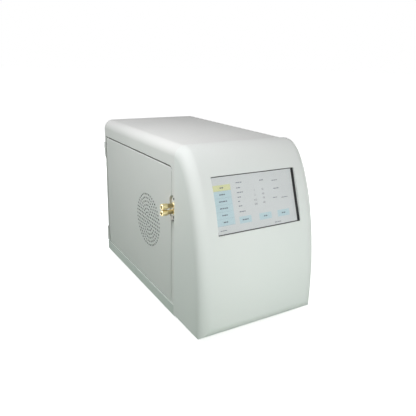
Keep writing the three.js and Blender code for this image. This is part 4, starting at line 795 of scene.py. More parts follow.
# %% Face curve
front_low, front_high = span("front_bezel")
middle_x = (front_low.x + front_high.x) / 2
FACE_CURVE = [
    Vector((front_low.y, 37 * MM)),
    Vector((front_low.y, front_high.z - 171 * MM)),
    Vector((seam_y - 69 * MM, front_high.z)),
    Vector((seam_y - 1 * MM, front_high.z)),
]


def face_point(t, inset=0.0):
    p0, p1, p2, p3 = FACE_CURVE
    s = 1 - t
    point = s**3 * p0 + 3 * s**2 * t * p1 + 3 * s * t**2 * p2 + t**3 * p3
    slope = 3 * (s**2 * (p1 - p0) + 2 * s * t * (p2 - p1) + t**2 * (p3 - p2))
    inward = Vector((slope.y, -slope.x)).normalized()
    return point + inset * inward


print("the face bows forward to", round(face_point(0).x / MM, 1), "mm at its foot")

# %% [markdown]
# The side outline is pushed across and its two side borders are rounded. Two limiting blocks
# trim it: one turns the face under at its foot, the other rounds the lower edges at both sides.
# The same steps with a smaller outline give the hollow inside, so the wall is even all round.

# %% Rounded body
SIDE_ROUND, FOOT_ROUND, SOLE_ROUND = 24 * MM, 30 * MM, 9 * MM


def add_prism(name, points, push):
    """A flat outline of points, filled and pushed along a vector."""
    deselect()
    bpy.ops.mesh.primitive_circle_add(vertices=len(points), radius=1, fill_type="NGON")
    piece = bpy.context.object
    piece.name = name
    for vertex, point in zip(piece.data.vertices, points):
        vertex.co = point
    bpy.ops.object.mode_set(mode="EDIT")
    bpy.ops.mesh.select_all(action="SELECT")
    bpy.ops.mesh.extrude_region_move(TRANSFORM_OT_translate={"value": push})
    bpy.ops.mesh.select_all(action="SELECT")
    bpy.ops.mesh.normals_make_consistent(inside=False)
    bpy.ops.object.mode_set(mode="OBJECT")
    return piece


def rounded_body(name, inset, rear):
    low_x, high_x = front_low.x + inset, front_high.x - inset
    behind, below = rear + 40 * MM, front_low.z - 40 * MM
    outline = [(behind, below), (front_low.y + inset, below)]
    steps = 60
    outline += [tuple(face_point(step / steps, inset)) for step in range(steps + 1)]
    outline += [(behind, front_high.z - inset)]
    body = add_prism(name, [(low_x, y, z) for y, z in outline], (high_x - low_x, 0, 0))
    bevel_where(body, SIDE_ROUND - inset, 12, lambda a, b: near(a.x, b.x))
    low_y, low_z = front_low.y + inset, front_low.z + inset
    above = front_high.z + 9 * MM
    foot = add_block("foot", (-1, low_y, low_z), (1, rear, above))
    bevel_where(
        foot, FOOT_ROUND - inset, 20,
        lambda a, b: along_x(a, b) and near(a.y, low_y) and near(a.z, low_z),
    )
    sole = add_block("sole", (low_x, low_y - 9 * MM, low_z), (high_x, rear + 9 * MM, above))
    bevel_where(
        sole, SOLE_ROUND - inset, 8,
        lambda a, b: near(a.z, low_z) and near(b.z, low_z) and near(a.x, b.x),
    )
    return keep_inside(keep_inside(body, foot), sole)


# %% [markdown]
# The screen lies in a flat moulded frame that leans back as the curve does between the window's
# lower and upper edge. Everything on it is drawn flat, x across and y up, and laid onto the
# panel by one matrix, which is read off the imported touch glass.

# %% Screen place
def screen_matrix():
    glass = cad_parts["touch_glass"].data
    facing = [face for face in glass.polygons if face.normal.y < -0.5]
    front = max(facing, key=lambda face: face.area)
    out = front.normal.copy()
    on_face = [v.co for v in glass.vertices if near((v.co - front.center).dot(out), 0, 0.05 * MM)]
    centre = sum(on_face, Vector()) / len(on_face)
    across, upward = Vector((1, 0, 0)), out.cross(Vector((1, 0, 0)))
    place = centre + 7.8 * MM * out
    place.x = middle_x
    matrix = Matrix((across, upward, out)).transposed().to_4x4()
    matrix.translation = place
    return matrix


SCREEN = screen_matrix()
lean = math.degrees(math.asin(SCREEN.col[2].z))
print(f"the screen leans back {lean:.2f} degrees")


def on_screen(piece):
    piece.matrix_world = SCREEN @ piece.matrix_world
    return settle(piece)


def flat_block(name, u_range, v_range, w_range, corner=0.0):
    low, high = [Vector(c) * MM for c in zip(u_range, v_range, w_range)]
    piece = add_block(name, low, high)
    if corner:
        bevel_where(piece, corner * MM, 6, lambda a, b: near(a.x, b.x) and near(a.y, b.y))
    return piece


def screen_slab(name, width, height, corner, w_range):
    half = (width / 2, height / 2)
    return on_screen(flat_block(name, (-half[0], half[0]), (-half[1], half[1]), w_range, corner))


# %% [markdown]
# The shell is the outer body less the hollow. The hollow itself is cut first: what is taken from
# it stays solid in the shell, which gives the thick frame round the screen and four screw posts.

# %% Front shell
WALL = 3 * MM


def four_posts(name, rear, front_end, radius):
    """Rods from the rear to the front, one for each corner screw of the moulding."""
    return [
        add_rod(name, (middle_x + side * 116 * MM, rear, z),
                (middle_x + side * 116 * MM, front_end, z), radius, 32)
        for side in SIDES for z in (46 * MM, 314 * MM)
    ]


front = rounded_body("front_shell", 0, front_high.y - 3.7 * MM - 0.3 * MM)
hollow = rounded_body("hollow", WALL, front_high.y + 8 * MM)
posts = four_posts("post", front_high.y + 10 * MM, front_low.y - 5 * MM, 5 * MM)
cut(hollow, screen_slab("frame", 217, 130, 7, (-6, 30)), *posts)
cut(front, hollow)
weld(front, *four_posts("post_foot", front_high.y, front_high.y - 12 * MM, 5.6 * MM))
cut(front, screen_slab("window", 197, 110, 2, (-12, 20)))
clean(front)
round_edges(front, 0.5 * MM, 3)
smooth(front)
finish(front, looks["moulding"], "casing", "front_bezel", slot="moulding")

# %% [markdown]
# ## The base tray
#
# The tray is the floor of the case. Its two sides rise as sills, stand a little proud of the
# hood, and turn in as ledges that the hood rests on. Its outline is drawn from the front and
# pushed along the depth, then its outer folds are rounded.

# %% Tray
tray_low, tray_high = span("base_tray")


def tray_outline():
    low, high, ledge = tray_low.z, tray_high.z, 9 * MM
    left, right = tray_low.x, tray_high.x
    left_half = [
        (left, low), (left, high), (left + ledge, high), (left + ledge, high - SHEET),
        (left + SHEET, high - SHEET), (left + SHEET, low + SHEET),
    ]
    return left_half + [(left + right - x, z) for x, z in reversed(left_half)]


tray = add_prism(
    "tray_pan", [(x, tray_low.y, z) for x, z in tray_outline()], (0, tray_high.y - tray_low.y, 0)
)


def outer_fold(a, b):
    on_side = near(a.x, tray_low.x) or near(a.x, tray_high.x)
    return on_side and near(a.x, b.x) and near(a.z, b.z)


bevel_where(tray, 1.3 * MM, 4, outer_fold)
clean(tray)
round_edges(tray, 0.3 * MM, 2)
smooth(tray)
finish(tray, looks["tray_paint"], "casing", "base_tray", slot="tray_paint")

# %% [markdown]
# ## The water ports
#
# Two turned brass fittings stand on a small steel plate inside the recess. Each has a flange
# against the plate, a narrow neck and a wider collar that takes the tube. The rows below are
# radius and height above the plate, in millimetres. A turned part is best spun from its rows,
# as the lathe does it, and the faces inside its bore get a darker brass as painted shade.

# %% Ports
PORT_ROWS = [
    (3.5, -12), (4.2, -12), (4.2, 0), (5.5, 0), (5.7, 0.2), (5.7, 2.2), (5.5, 2.4), (4.5, 2.4),
    (4.5, 12), (5.75, 15.6), (5.9, 16), (5.9, 26.8), (5.0, 27.8), (4.7, 28), (3.9, 28), (3.5, 27.6),
]


def metres(rows):
    return [(radius * MM, height * MM) for radius, height in rows]


# A near-black brass for the faces inside the bore: painted shade.
bore_shade_brass = opaque(
    "bore_shade_brass", rgb(74, 62, 40), rgb(52, 44, 30), 0.6, 0.3 * MM, 0.01 * MM, metallic=0.6,
    tone_size=0.003,
)
for node in ("port_inlet", "port_outlet"):
    low, high = span(node)
    foot = Vector((low.x + 28 * MM, (low.y + high.y) / 2, (low.z + high.z) / 2))
    port = add_turned(node + "_turned", metres(PORT_ROWS), foot, LEFT, 48)
    smooth(port, math.radians(25))
    finish(port, looks["brass"], "casing", node, slot="brass")
    port.data.materials.append(bore_shade_brass)
    # Faces inside the bore take the painted shade.
    for face in port.data.polygons:
        across = Vector((face.center.y - foot.y, face.center.z - foot.z)).length
        face.material_index = int(across < 3.6 * MM)

plate_low, plate_high = span("port_plate")
plate_y, plate_z = (plate_low.y + plate_high.y) / 2, (plate_low.z + plate_high.z) / 2
plate_size = plate_high - plate_low
plate = add_slot(
    "port_plate_fine", (plate_low.x, plate_high.x), (plate_y, plate_z), plate_size.y, plate_size.z
)
left_end, right_end = plate_low.x - 1 * MM, plate_high.x + 1 * MM
holes = [
    add_rod("hole", (left_end, plate_y, z), (right_end, plate_y, z), 4.6 * MM, 40)
    for z in (plate_z - 6.5 * MM, plate_z + 6.5 * MM)
]
cut(plate, *holes)
clean(plate)
round_edges(plate, 0.3 * MM, 2)
smooth(plate)
finish(plate, looks["case_paint"], "casing", "port_plate", slot="case_paint")

# %% [markdown]
# Cheese-head screws hold the plate. The head is turned with a rounded rim, then a narrow block
# cuts its slot. Each screw is turned a little differently, as a person would leave it.

# %% Screws
add_look(
    "black_oxide", rgb(58, 59, 62), rgb(44, 45, 48), 0.34, 0.4 * MM, 0.01 * MM, metallic=0.7,
    tone_size=0.004, worn=rgb(150, 152, 155), wear=0.5, wear_radius=0.3 * MM,
)


def add_screw(name, place, axis, radius, height, turn, body, look="steel"):
    r, h = radius / MM, height / MM
    rows = [(0.001, 0), (r, 0), (r, 0.6 * h), (0.9 * r, 0.9 * h), (0.7 * r, h), (0.001, h)]
    screw = add_turned(name, metres(rows), (0, 0, 0), UP, 32)
    slot_half = (1.3 * radius, 0.13 * radius, 0.45 * height)
    slot = add_block("slot", [-s for s in slot_half], slot_half)
    slot.location = (0, 0, height)
    cut(screw, settle(slot))
    round_edges(screw, 0.06 * radius, 1)
    pick(screw)
    turned = Matrix.Rotation(math.radians(turn), 4, "Z")
    aim = Vector(axis).to_track_quat("Z", "Y").to_matrix().to_4x4()
    screw.matrix_world = Matrix.Translation(place) @ aim @ turned
    settle(screw)
    smooth(screw)
    return finish(screw, looks[look], body, slot="steel")


for index, side in enumerate((-1, 1)):
    place = (plate_low.x, plate_y, plate_z + side * 19 * MM)
    add_screw(
        f"port_plate_screw_{index + 1}", place, LEFT, 2.6 * MM, 1.4 * MM, 25 + 60 * index, "casing",
        "black_oxide",
    )

# %% [markdown]
# ## The screen
#
# A black mask lines the window, and the touch glass lies behind it. The lit picture behind the
# glass is drawn as thin tiles: a pale ground, a column of keys on the left, three keys along the
# foot, and short bars and numbers where the readings stand.

# %% Mask, glass and panel
mask = screen_slab("mask_lining", 196.4, 109.4, 2, (-7.5, -1))
flange = screen_slab("flange", 214.6, 127.6, 2, (-7.5, -6.3))
weld(mask, flange)
cut(mask, screen_slab("view", 194, 107, 1.2, (-20, 5)))
clean(mask)
round_edges(mask, 0.15 * MM, 1)
smooth(mask)
finish(mask, looks["black_plastic"], "casing", "screen_mask", slot="black_plastic")

glass = screen_slab("glass_pane", 212, 125, 2, (-9.6, -7.8))
round_edges(glass, 0.3 * MM, 2)
smooth(glass)
finish(glass, looks["screen_glass"], "casing", "touch_glass", slot="screen_glass")

# %% [markdown]
# A lit panel is a fine grid of cells. Seen close, thin dark lines part the cells, and the back
# light varies a little in slow clouds.

# %% Lit picture
def make_grid_group():
    tree, given, result = new_group(
        "pixel_grid", [("Pitch", "Float", 0.0005), ("Depth", "Float", 0.12)], [("Level", "Float")]
    )
    place = object_place(tree, given["Pitch"])
    parts = add_node(tree, "SeparateXYZ", {0: place})
    rows = []
    for axis in ("X", "Z"):
        cell = maths(tree, "FRACT", parts.outputs[axis])
        rows.append(spread(tree, maths(tree, "PINGPONG", cell, 0.5), 0.04, 0.16))
    line = maths(tree, "SUBTRACT", 1.0, maths(tree, "MULTIPLY", rows[0], rows[1]))
    dimmed = maths(tree, "SUBTRACT", 1.0, maths(tree, "MULTIPLY", line, given["Depth"]))
    cloud = noise(tree, object_place(tree, 0.09), detail=1.0)
    uneven = spread(tree, cloud, 0.3, 0.7, 0.95, 1.0)
    tree.links.new(maths(tree, "MULTIPLY", dimmed, uneven), result["Level"])
    return tree


groups["grid"] = make_grid_group()


GLOW = 0.88


def lit(name, colour):
    material, tree, shader = new_material(name)
    level = use_group(tree, "grid")["Level"]
    glow = mix_colours(tree, level, (0, 0, 0, 1), colour)
    tree.links.new(glow, shader.inputs["Emission Color"])
    panel = mix_colours(tree, level, rgb(20, 20, 20), rgb(40, 42, 44))
    tree.links.new(panel, shader.inputs["Base Color"])
    shader.inputs["Emission Strength"].default_value = GLOW
    shader.inputs["Roughness"].default_value = 0.6
    return material


picture_looks = {
    name: lit("lit_" + name, rgb(*levels))
    for name, levels in {
        "ground": (214, 217, 216), "yellow": (220, 222, 166), "blue": (190, 214, 219),
        "seam": (150, 172, 182), "ink": (96, 104, 116), "pale_ink": (124, 130, 138),
    }.items()
}


def add_tiles(name, look, tiles, top):
    """Thin tiles given as (u low, v low, u high, v high), joined into one piece."""
    slabs = [flat_block(name, (a, c), (b, d), (top - 0.04, top)) for a, b, c, d in tiles]
    piece = on_screen(join(*slabs))
    return finish(piece, picture_looks[look], "casing", slot="screen_glass")


GROUND_TOP, KEY_TOP, SEAM_TOP, INK_TOP = -9.85, -9.8, -9.75, -9.74
KEY_LEFT, KEY_RIGHT = -93, -52
SIDE_KEYS = [(KEY_LEFT, -38 + 13 * row, KEY_RIGHT, -25.4 + 13 * row) for row in range(5)]
FOOT_KEYS = [(-41.6, -39.4, -13.5, -26.4), (5.7, -39.4, 35.5, -26.4), (51, -39.4, 81, -26.4)]
seams = [(KEY_LEFT, low - 0.35, KEY_RIGHT, low) for _, low, _, _ in SIDE_KEYS]
seams.append((KEY_LEFT, 27.0, KEY_RIGHT, 27.4))
add_tiles("picture_ground", "ground", [(-99, -55.5, 99, 55.5)], GROUND_TOP)
add_tiles("picture_key_yellow", "yellow", [(KEY_LEFT, 27.4, KEY_RIGHT, 38.5)], KEY_TOP)
add_tiles("picture_keys_blue", "blue", SIDE_KEYS + FOOT_KEYS, KEY_TOP)
add_tiles("picture_key_seams", "seam", seams, SEAM_TOP)

# %% [markdown]
# The keys carry plain bars in place of words. A bar is a row of short dashes of different widths,
# as text looks from across a room, and the readings are plain numbers.

# %% Bars and numbers
DASH_GAP = 0.9


def dashes(u, v, widths, height=2.2):
    """Tiles for one bar that starts at u and is centred on v."""
    tiles = []
    for width in widths:
        tiles.append((u, v - height / 2, u + width, v + height / 2))
        u += width + DASH_GAP
    return tiles


def centred_dashes(u, v, widths):
    return dashes(u - (sum(widths) + DASH_GAP * (len(widths) - 1)) / 2, v, widths)


key_bars = []
for row, widths in enumerate([(3, 5, 2.4), (4, 3, 5, 3), (5, 3, 3, 4), (3, 4, 3), (5, 4)]):
    key_bars += centred_dashes((KEY_LEFT + KEY_RIGHT) / 2, SIDE_KEYS[4 - row][1] + 6.3, widths)
key_bars += dashes(-76, 33, (3, 4))
for key, widths in zip(FOOT_KEYS, [(4, 5, 3), (3, 4), (4, 4)]):
    key_bars += centred_dashes((key[0] + key[2]) / 2, (key[1] + key[3]) / 2, widths)
add_tiles("picture_key_bars", "ink", key_bars, INK_TOP)

LABELS = [
    (-39, 39, (5, 3, 4), 1.9), (-39, 29, (3, 5), 1.9), (-39, 20, (5, 4, 3), 1.9),
    (-39, 11, (3, 4), 1.9), (-39, 3, (4,), 1.9), (-39, -6, (4, 3), 1.9), (-39, -17, (5, 4, 3), 1.9),
    (17, 38, (4, 4), 1.9), (47, 34.5, (5, 3, 4), 1.6), (49, 18, (4, 3, 4), 1.9),
    (45, 0, (5, 4), 1.5), (66, -2, (6, 5, 3), 1.5), (-87, -47, (3, 5, 4), 1.5),
    (41, -49, (6, 3, 5), 1.5),
]
labels = [tile for label in LABELS for tile in dashes(*label)]
add_tiles("picture_labels", "pale_ink", labels, INK_TOP)


def add_number(text, u, v):
    deselect()
    bpy.ops.object.text_add(location=(0, 0, 0))
    number = bpy.context.object
    number.data.body = text
    number.data.align_x, number.data.align_y = "CENTER", "CENTER"
    number.data.size = 5.2 * MM
    number.data.extrude = 0.02 * MM
    bpy.ops.object.convert(target="MESH")
    number = bpy.context.object
    number.location = (u * MM, v * MM, INK_TOP * MM)
    return settle(number)


READINGS = [
    ("1", 2, 20), ("25", 22, 20), ("2", 2, 11), ("40", 22, 11), ("0.5", 2, 1), ("18", 22, 3),
    ("250", 2, -7), ("60", 22, -6),
]
numbers = on_screen(join(*[add_number(*reading) for reading in READINGS]))
numbers.name = "picture_numbers"
finish(numbers, picture_looks["ink"], "casing", slot="screen_glass")

# %% [markdown]
# ## Working in the casing's own millimetres
#
# The rest of the instrument is easiest to place as its drawings do: across from the middle,
# inward from the rear face, and up from the table. One function turns such a point into the
# frame's metres, and the others build on it.

# %% Casing helpers
def at(x, depth, z):
    return Vector((middle_x + x * MM, hood_high.y - depth * MM, z * MM))


def brick(name, xs, depths, zs):
    ends = at(xs[0], depths[0], zs[0]), at(xs[1], depths[1], zs[1])
    return add_block(name, [min(pair) for pair in zip(*ends)], [max(pair) for pair in zip(*ends)])


def rounded(name, xs, depths, zs, axis, corner, segments=6):
    """A brick whose four edges along one axis are rounded."""
    others = [i for i in range(3) if i != axis]
    piece = brick(name, xs, depths, zs)
    return bevel_where(
        piece, corner * MM, segments, lambda a, b: all(near(a[i], b[i]) for i in others)
    )


def pipe(name, start, end, radius, sides=40):
    return add_rod(name, at(*start), at(*end), radius * MM, sides)


def turned(name, rows, origin, axis, sides=48):
    return add_turned(name, metres(rows), at(*origin), axis, sides)


def swing(piece, point, axis, degrees):
    """Turns a settled piece about an axis through a point."""
    there = Matrix.Translation(point)
    pick(piece)
    piece.matrix_world = there @ Matrix.Rotation(math.radians(degrees), 4, axis) @ there.inverted()
    return settle(piece)


def dress(piece, look, body, *nodes, edge=0.25, segments=1, angle=35, name=None):
    """Cleans, edges and smooths a piece, then finishes it."""
    piece.name = name or piece.name
    clean(piece)
    if edge:
        round_edges(piece, edge * MM, segments)
    smooth(piece, math.radians(angle))
    return finish(piece, looks[look], body, *nodes, slot=look)


# %% [markdown]
# ## The rear
#
# The rear panel closes the hood's arch. Eighteen punched slots let the warm air out. Below them
# sit the data port, the mains switch and the mains inlet, each in its own cut-out.

# %% Rear panel
PANEL_FACE, PANEL_TOP = 1.5, 364.2
INLET_X, SWITCH_X, DATA_X, CONNECTOR_Z = 78, 28, -60, 68
THROUGH_PANEL = (-4, 8)

panel = brick("rear_panel_sheet", (-135.2, 135.2), (PANEL_FACE, 3), (7.8, PANEL_TOP))
bevel_where(panel, 20.2 * MM, 16, upper_border(at(0, 0, PANEL_TOP).z))
openings = [brick("corner", (side * 129.7, side * 140), (-5, 9), (0, 30.8)) for side in SIDES]
for z in range(229, 229 + 8 * 9, 8):
    for x in (-48, 48):
        slot = rounded("slot", (x - 35, x + 35), THROUGH_PANEL, (z - 1.5, z + 1.5), 1, 1.49)
        openings.append(slot)
for x, half, zs, corner in (
    (INLET_X, 14.3, (57.4, 78.6), 1.5), (SWITCH_X, 9.1, (54.9, 81.1), 1.5),
    (DATA_X, 8.8, (63.7, 72.3), 0.5),
):
    openings.append(rounded("hole", (x - half, x + half), THROUGH_PANEL, zs, 1, corner))
cut(panel, *openings)
dress(panel, "case_paint", "casing", "rear_panel", edge=0.3)


def add_screws(name, places, axis, radius, height, turn, first_turn=0):
    """A row of screws on the casing, each turned a little further than the one before."""
    for index, place in enumerate(places):
        spot, angle = at(*place), first_turn + turn * index
        add_screw(f"{name}_{index + 1}", spot, axis, radius * MM, height * MM, angle, "casing")


panel_screws = [(side * 126, z) for side in SIDES for z in (45, 190, 335)] + [(0, 355), (0, 18)]
add_screws("rear_screw", [(x, PANEL_FACE, z) for x, z in panel_screws], BACK, 3, 1.3, 35)

# %% [markdown]
# The mains inlet and the switch are moulded black plastic, snapped or screwed into the panel.
# The inlet's mouth has two cut corners, so that a plug fits one way round, and holds three brass
# blades. Each body is two bricks with rounded borders, welded, with its mouth cut out.

# %% Mains inlet and switch
inlet = rounded("inlet_body", (53, 103), (-1.8, 1.2), (55.5, 80.5), 1, 3)
weld(inlet, rounded("body", (64, 92), (0.7, 25.2), (57.75, 78.25), 1, 1.5))
mouth = [(66, 64), (70, 60), (86, 60), (90, 64), (90, 76), (66, 76)]
cut(inlet, add_prism("mouth", [at(x, -5, z) for x, z in mouth], (0, -20.2 * MM, 0)))
dress(inlet, "black_plastic", "casing", "mains_inlet", edge=0.35, segments=2)
blades = [
    rounded("blade", (x - 1, x + 1), (3.2, 15.6), (z - 2, z + 2), 2, 0.45, 3)
    for x, z in [(71, 70), (85, 70), (78, 64.6)]
]
dress(join(*blades), "brass", "casing", edge=0.2, name="inlet_blades")
inlet_screws = [(x, -1.8, CONNECTOR_Z) for x in (58, 98)]
add_screws("inlet_screw", inlet_screws, BACK, 2.4, 0.6, 50)

housing = rounded("switch_frame", (17, 39), (-0.8, 1.2), (53, 83), 1, 2.2)
weld(housing, rounded("body", (19.2, 36.8), (0.7, 17.2), (55.2, 80.8), 1, 1.5))
cut(housing, brick("throat", (20.7, 35.3), (-5, 11.2), (55.7, 80.3)))
dress(housing, "black_plastic", "casing", "switch_housing", edge=0.35, segments=2)

# %% [markdown]
# The data port is the common nine-pin socket: a steel shell whose outline narrows downward, a
# black insert with five and four holes, and a hexagonal post at each side for the plug's screws.

# %% Data port
def trapezoid(name, inset, depths):
    half_height, side, top = 4 - inset, 7.3 - inset, 8.5 - inset
    low, high = CONNECTOR_Z - half_height, CONNECTOR_Z + half_height
    outline = [(-side, low), (side, low), (top, high), (-top, high)]
    push = (0, (depths[0] - depths[1]) * MM, 0)
    prism = add_prism(name, [at(DATA_X + x, depths[0], z) for x, z in outline], push)
    return bevel_where(prism, 1 * MM, 4, lambda a, b: near(a.x, b.x) and near(a.z, b.z))


shell = trapezoid("data_port_shell", 0, (-2.7, 3.8))
cut(shell, trapezoid("inside", 0.7, (-9, 9)))
weld(shell, rounded("flange", (-75.5, -44.5), (3.3, 13.3), (61.75, 74.25), 1, 1))
dress(shell, "steel", "casing", "data_port", edge=0.15)
insert = trapezoid("insert", 0.9, (-1.4, 3.2))
PIN_PITCH = 2.77
pins = [(-65.54 + PIN_PITCH * i, 69.4) for i in range(5)]
pins += [(-64.15 + PIN_PITCH * i, 66.6) for i in range(4)]
cut(insert, *[pipe("socket", (x, -4, z), (x, 2, z), 0.6, 16) for x, z in pins])
dress(insert, "black_plastic", "casing", edge=0.1, name="data_port_insert")


def data_posts(name, depths, radius, sides):
    return [
        pipe(name, (x, depths[0], CONNECTOR_Z), (x, depths[1], CONNECTOR_Z), radius, sides)
        for x in (-72.4, -47.6)
    ]


jack = join(*data_posts("jack", (-2.4, 1.4), 2.5, 6))
cut(jack, *data_posts("bore", (-4, 1), 1.2, 20))
dress(jack, "steel", "casing", edge=0.2, name="data_port_posts")

# %% [markdown]
# ## Hinges, feet and catch
#
# The door hangs on two lift-off hinges: the frame's half of each barrel is below, the door's half
# rests on top, and a pin runs through both. Each half is a leaf, a neck and a barrel, welded one
# after the other and bored through.

# %% Hinges
HINGE_X, HINGE_DEPTH, HALF_HINGE = -139.9, 9, 20
PIN_ROWS = [
    (0.001, -20.3), (0.9, -20.3), (1.2, -20), (1.2, 20.3), (2.2, 20.3), (2.2, 20.9), (1.8, 21.3),
    (0.001, 21.3),
]


def hinge_pipe(name, low, high, radius, sides=40):
    return pipe(name, (HINGE_X, HINGE_DEPTH, low), (HINGE_X, HINGE_DEPTH, high), radius, sides)


def add_hinge(level, centre):
    bottom, top = centre - HALF_HINGE, centre + HALF_HINGE
    for owner, body, low, high, depths in (
        ("door", "door", centre + 0.15, top, (9.4, 10.2)),
        ("frame", "casing", bottom, centre - 0.15, (7.8, 8.6)),
    ):
        leaf = rounded(f"hinge_{owner}_{level}", (-137, -126), depths, (bottom, top), 1, 1.5)
        weld(leaf, brick("neck", (-138.1, -136.5), depths, (low + 0.1, high - 0.1)))
        weld(leaf, hinge_pipe("barrel", low, high, 2.6))
        cut(leaf, hinge_pipe("bore", low - 5, high + 5, 1.5, 24))
        dress(leaf, "case_paint", body, f"hinge_{owner}_leaf_{level}", edge=0.2)
    pin = turned(f"hinge_rod_{level}", PIN_ROWS, (HINGE_X, HINGE_DEPTH, centre), UP, 32)
    dress(pin, "steel", "casing", f"hinge_pin_{level}", edge=0)


add_hinge("lower", 56)
add_hinge("upper", 289)

# %% [markdown]
# The feet are moulded rubber with a hollow for their screw, turned from one list of rows. The
# catch is a magnet in a plastic box: two steel poles show at its mouth, where the door meets it.

# %% Feet and catch
FOOT_ROWS = [
    (0.001, 3), (3.4, 3), (3.4, 0.3), (3.7, 0), (8.3, 0), (8.8, 0.2), (9.05, 0.7), (10.9, 5.1),
    (10.9, 5.5), (10.6, 5.7), (0.001, 5.7),
]
for node in [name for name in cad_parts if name.startswith("foot_")]:
    low, high = span(node)
    middle = ((low.x + high.x) / 2, (low.y + high.y) / 2, 0)
    foot = add_turned(node + "_rubber", metres(FOOT_ROWS), middle, UP, 48)
    dress(foot, "rubber", "casing", node, edge=0)

catch = brick("catch_body", (-124.7, -113.7), (337, 377), (310.3, 324.3))
cut(catch, brick("relief", (-130, -122.7), (343, 371), (300, 316.3)))
dress(catch, "grey_plastic", "casing", "door_catch", edge=0.5, segments=2)
poles = [brick("pole", (-124.4, -122.5), (344, 370), (z, z + 1.2)) for z in (311.2, 314.4)]
dress(join(*poles), "steel", "casing", edge=0.1, name="catch_poles")

# %% [markdown]
# ## The fan
#
# A 120 mm fan hangs on the door behind the vent. Its frame is a square with a round bore and a
# waist between two flanges. Four struts carry the motor cup. The waist's cutter is itself cut by
# the drum and the four screw posts, so that these are left standing.

# %% Fan frame
FAN = (274, 178.5)
BLADES = 7
THROUGH_FAN = (-140, -100)
fan_axis = at(0, *FAN)


def fan_pipe(name, xs, radius, sides, offset=(0, 0)):
    depth, z = FAN[0] + offset[0], FAN[1] + offset[1]
    return pipe(name, (xs[0], depth, z), (xs[1], depth, z), radius, sides)


corners = [(a * 52.5, b * 52.5) for a in SIDES for b in SIDES]
fan = rounded("fan_body", (-135.2, -110.2), (214, 334), (118.5, 238.5), 0, 6, 8)
waist = brick("waist", (-131.2, -114.2), (200, 348), (105, 252))
cut(waist, fan_pipe("drum", THROUGH_FAN, 59.6, 96))
cut(waist, join(*[fan_pipe("post", THROUGH_FAN, 5.5, 32, corner) for corner in corners]))
cut(fan, waist)
cut(fan, fan_pipe("bore", THROUGH_FAN, 57.5, 96))
cut(fan, *[fan_pipe("hole", THROUGH_FAN, 2.2, 24, corner) for corner in corners])
weld(fan, fan_pipe("cup", (-114.2, -110.2), 22, 64))
struts = []
for degrees in range(45, 360, 90):
    strut = brick("strut", (-114.1, -110.3), (FAN[0] + 18, FAN[0] + 58.2), (176, 181))
    struts.append(swing(strut, fan_axis, "X", degrees))
weld(fan, *struts)
dress(fan, "black_plastic", "door", "fan_frame", edge=0.4, segments=2)

# %% [markdown]
# The rotor is a domed hub with seven blades. One blade starts as a thin slab that is divided,
# hollowed slightly and twisted towards its tip. It is then copied round the hub, since a fan's
# blades come from one mould and are all alike.

# %% Fan rotor
HUB_ROWS = [
    (0.001, 0), (14, 0), (16.5, 0.4), (18.6, 1.4), (19.7, 3), (20, 5), (20, 17), (0.001, 17),
]
BLADE_ROOT, BLADE_TIP, HALF_CHORD = 19.5, 55.5, 7.5
rotor = turned("fan_wheel", HUB_ROWS, (-131.5, *FAN), -LEFT, 64)


def fan_blade():
    low, high = (-0.8, BLADE_ROOT, -HALF_CHORD), (0.8, BLADE_TIP, HALF_CHORD)
    blade = add_block("blade", Vector(low) * MM, Vector(high) * MM)
    pick(blade)
    bpy.ops.object.mode_set(mode="EDIT")
    bpy.ops.mesh.select_all(action="SELECT")
    bpy.ops.mesh.subdivide(number_cuts=9)
    bpy.ops.object.mode_set(mode="OBJECT")
    for vertex in blade.data.vertices:
        x, y, z = vertex.co
        outward = (y / MM - BLADE_ROOT) / (BLADE_TIP - BLADE_ROOT)
        off_middle = (z / MM / HALF_CHORD) ** 2
        x = x * (1 - 0.35 * outward) + 1.3 * MM * (1 - off_middle)
        turn = math.radians(38) * (1 + outward / 2)
        along = y - 1.5 * MM * off_middle * outward
        sine, cosine = math.sin(turn), math.cos(turn)
        vertex.co = (x * sine + z * cosine, along, z * sine - x * cosine)
    blade.location = at(-123, *FAN)
    return settle(blade)


blade = fan_blade()
blades = [copy_of(blade, "blade_copy") for _ in range(BLADES)]
bpy.data.objects.remove(blade)
for index, piece in enumerate(blades):
    swing(piece, fan_axis, "X", 360 / BLADES * index)
weld(rotor, *blades)
dress(rotor, "black_plastic", "fan", "fan_rotor", edge=0.25, angle=40)

# %% [markdown]
# ## The pump
#
# A peristaltic pump squeezes its hose along a round track with three rollers. The head is a cup,
# open at the top where the hose comes in and goes out. The clear cover shows the rollers, and a
# gear motor drives them from behind the plate.

# %% Pump head
PUMP_DEPTH, PUMP_Z = PUMP = (318, 98)
HOSE_REACH = 22.75


def u_slab(name, xs, radius, shoulder):
    """A slab across X with a round lower half and a flat top, about the pump's axis."""
    segments = 40
    arc = [math.pi + math.pi * i / segments for i in range(segments + 1)]
    outline = [(PUMP_DEPTH + radius * math.cos(a), PUMP_Z + radius * math.sin(a)) for a in arc]
    outline += [(PUMP_DEPTH + side * radius, PUMP_Z + shoulder) for side in (1, -1)]
    return add_prism(name, [at(xs[0], d, h) for d, h in outline], ((xs[1] - xs[0]) * MM, 0, 0))


def pump_pipe(name, xs, radius, sides=40):
    return pipe(name, (xs[0], *PUMP), (xs[1], *PUMP), radius, sides)


head = u_slab("pump_cup", (-49.3, -22.3), 30, 26)
cut(head, u_slab("well", (-54, -26.3), 24, 22.3))
hose_legs = [PUMP_DEPTH + side * HOSE_REACH for side in SIDES]
cut(head, *[
    brick("slot", (-54, -29.5), (leg - 3.2, leg + 3.2), (PUMP_Z, 130)) for leg in hose_legs
])
cut(head, pump_pipe("shaft_hole", (-31, -17), 4.3, 32))
cut(head, pump_pipe("neck_hole", (-24.3, -17), 7.3, 32))
dress(head, "grey_plastic", "casing", "pump_body", edge=0.5, segments=2)

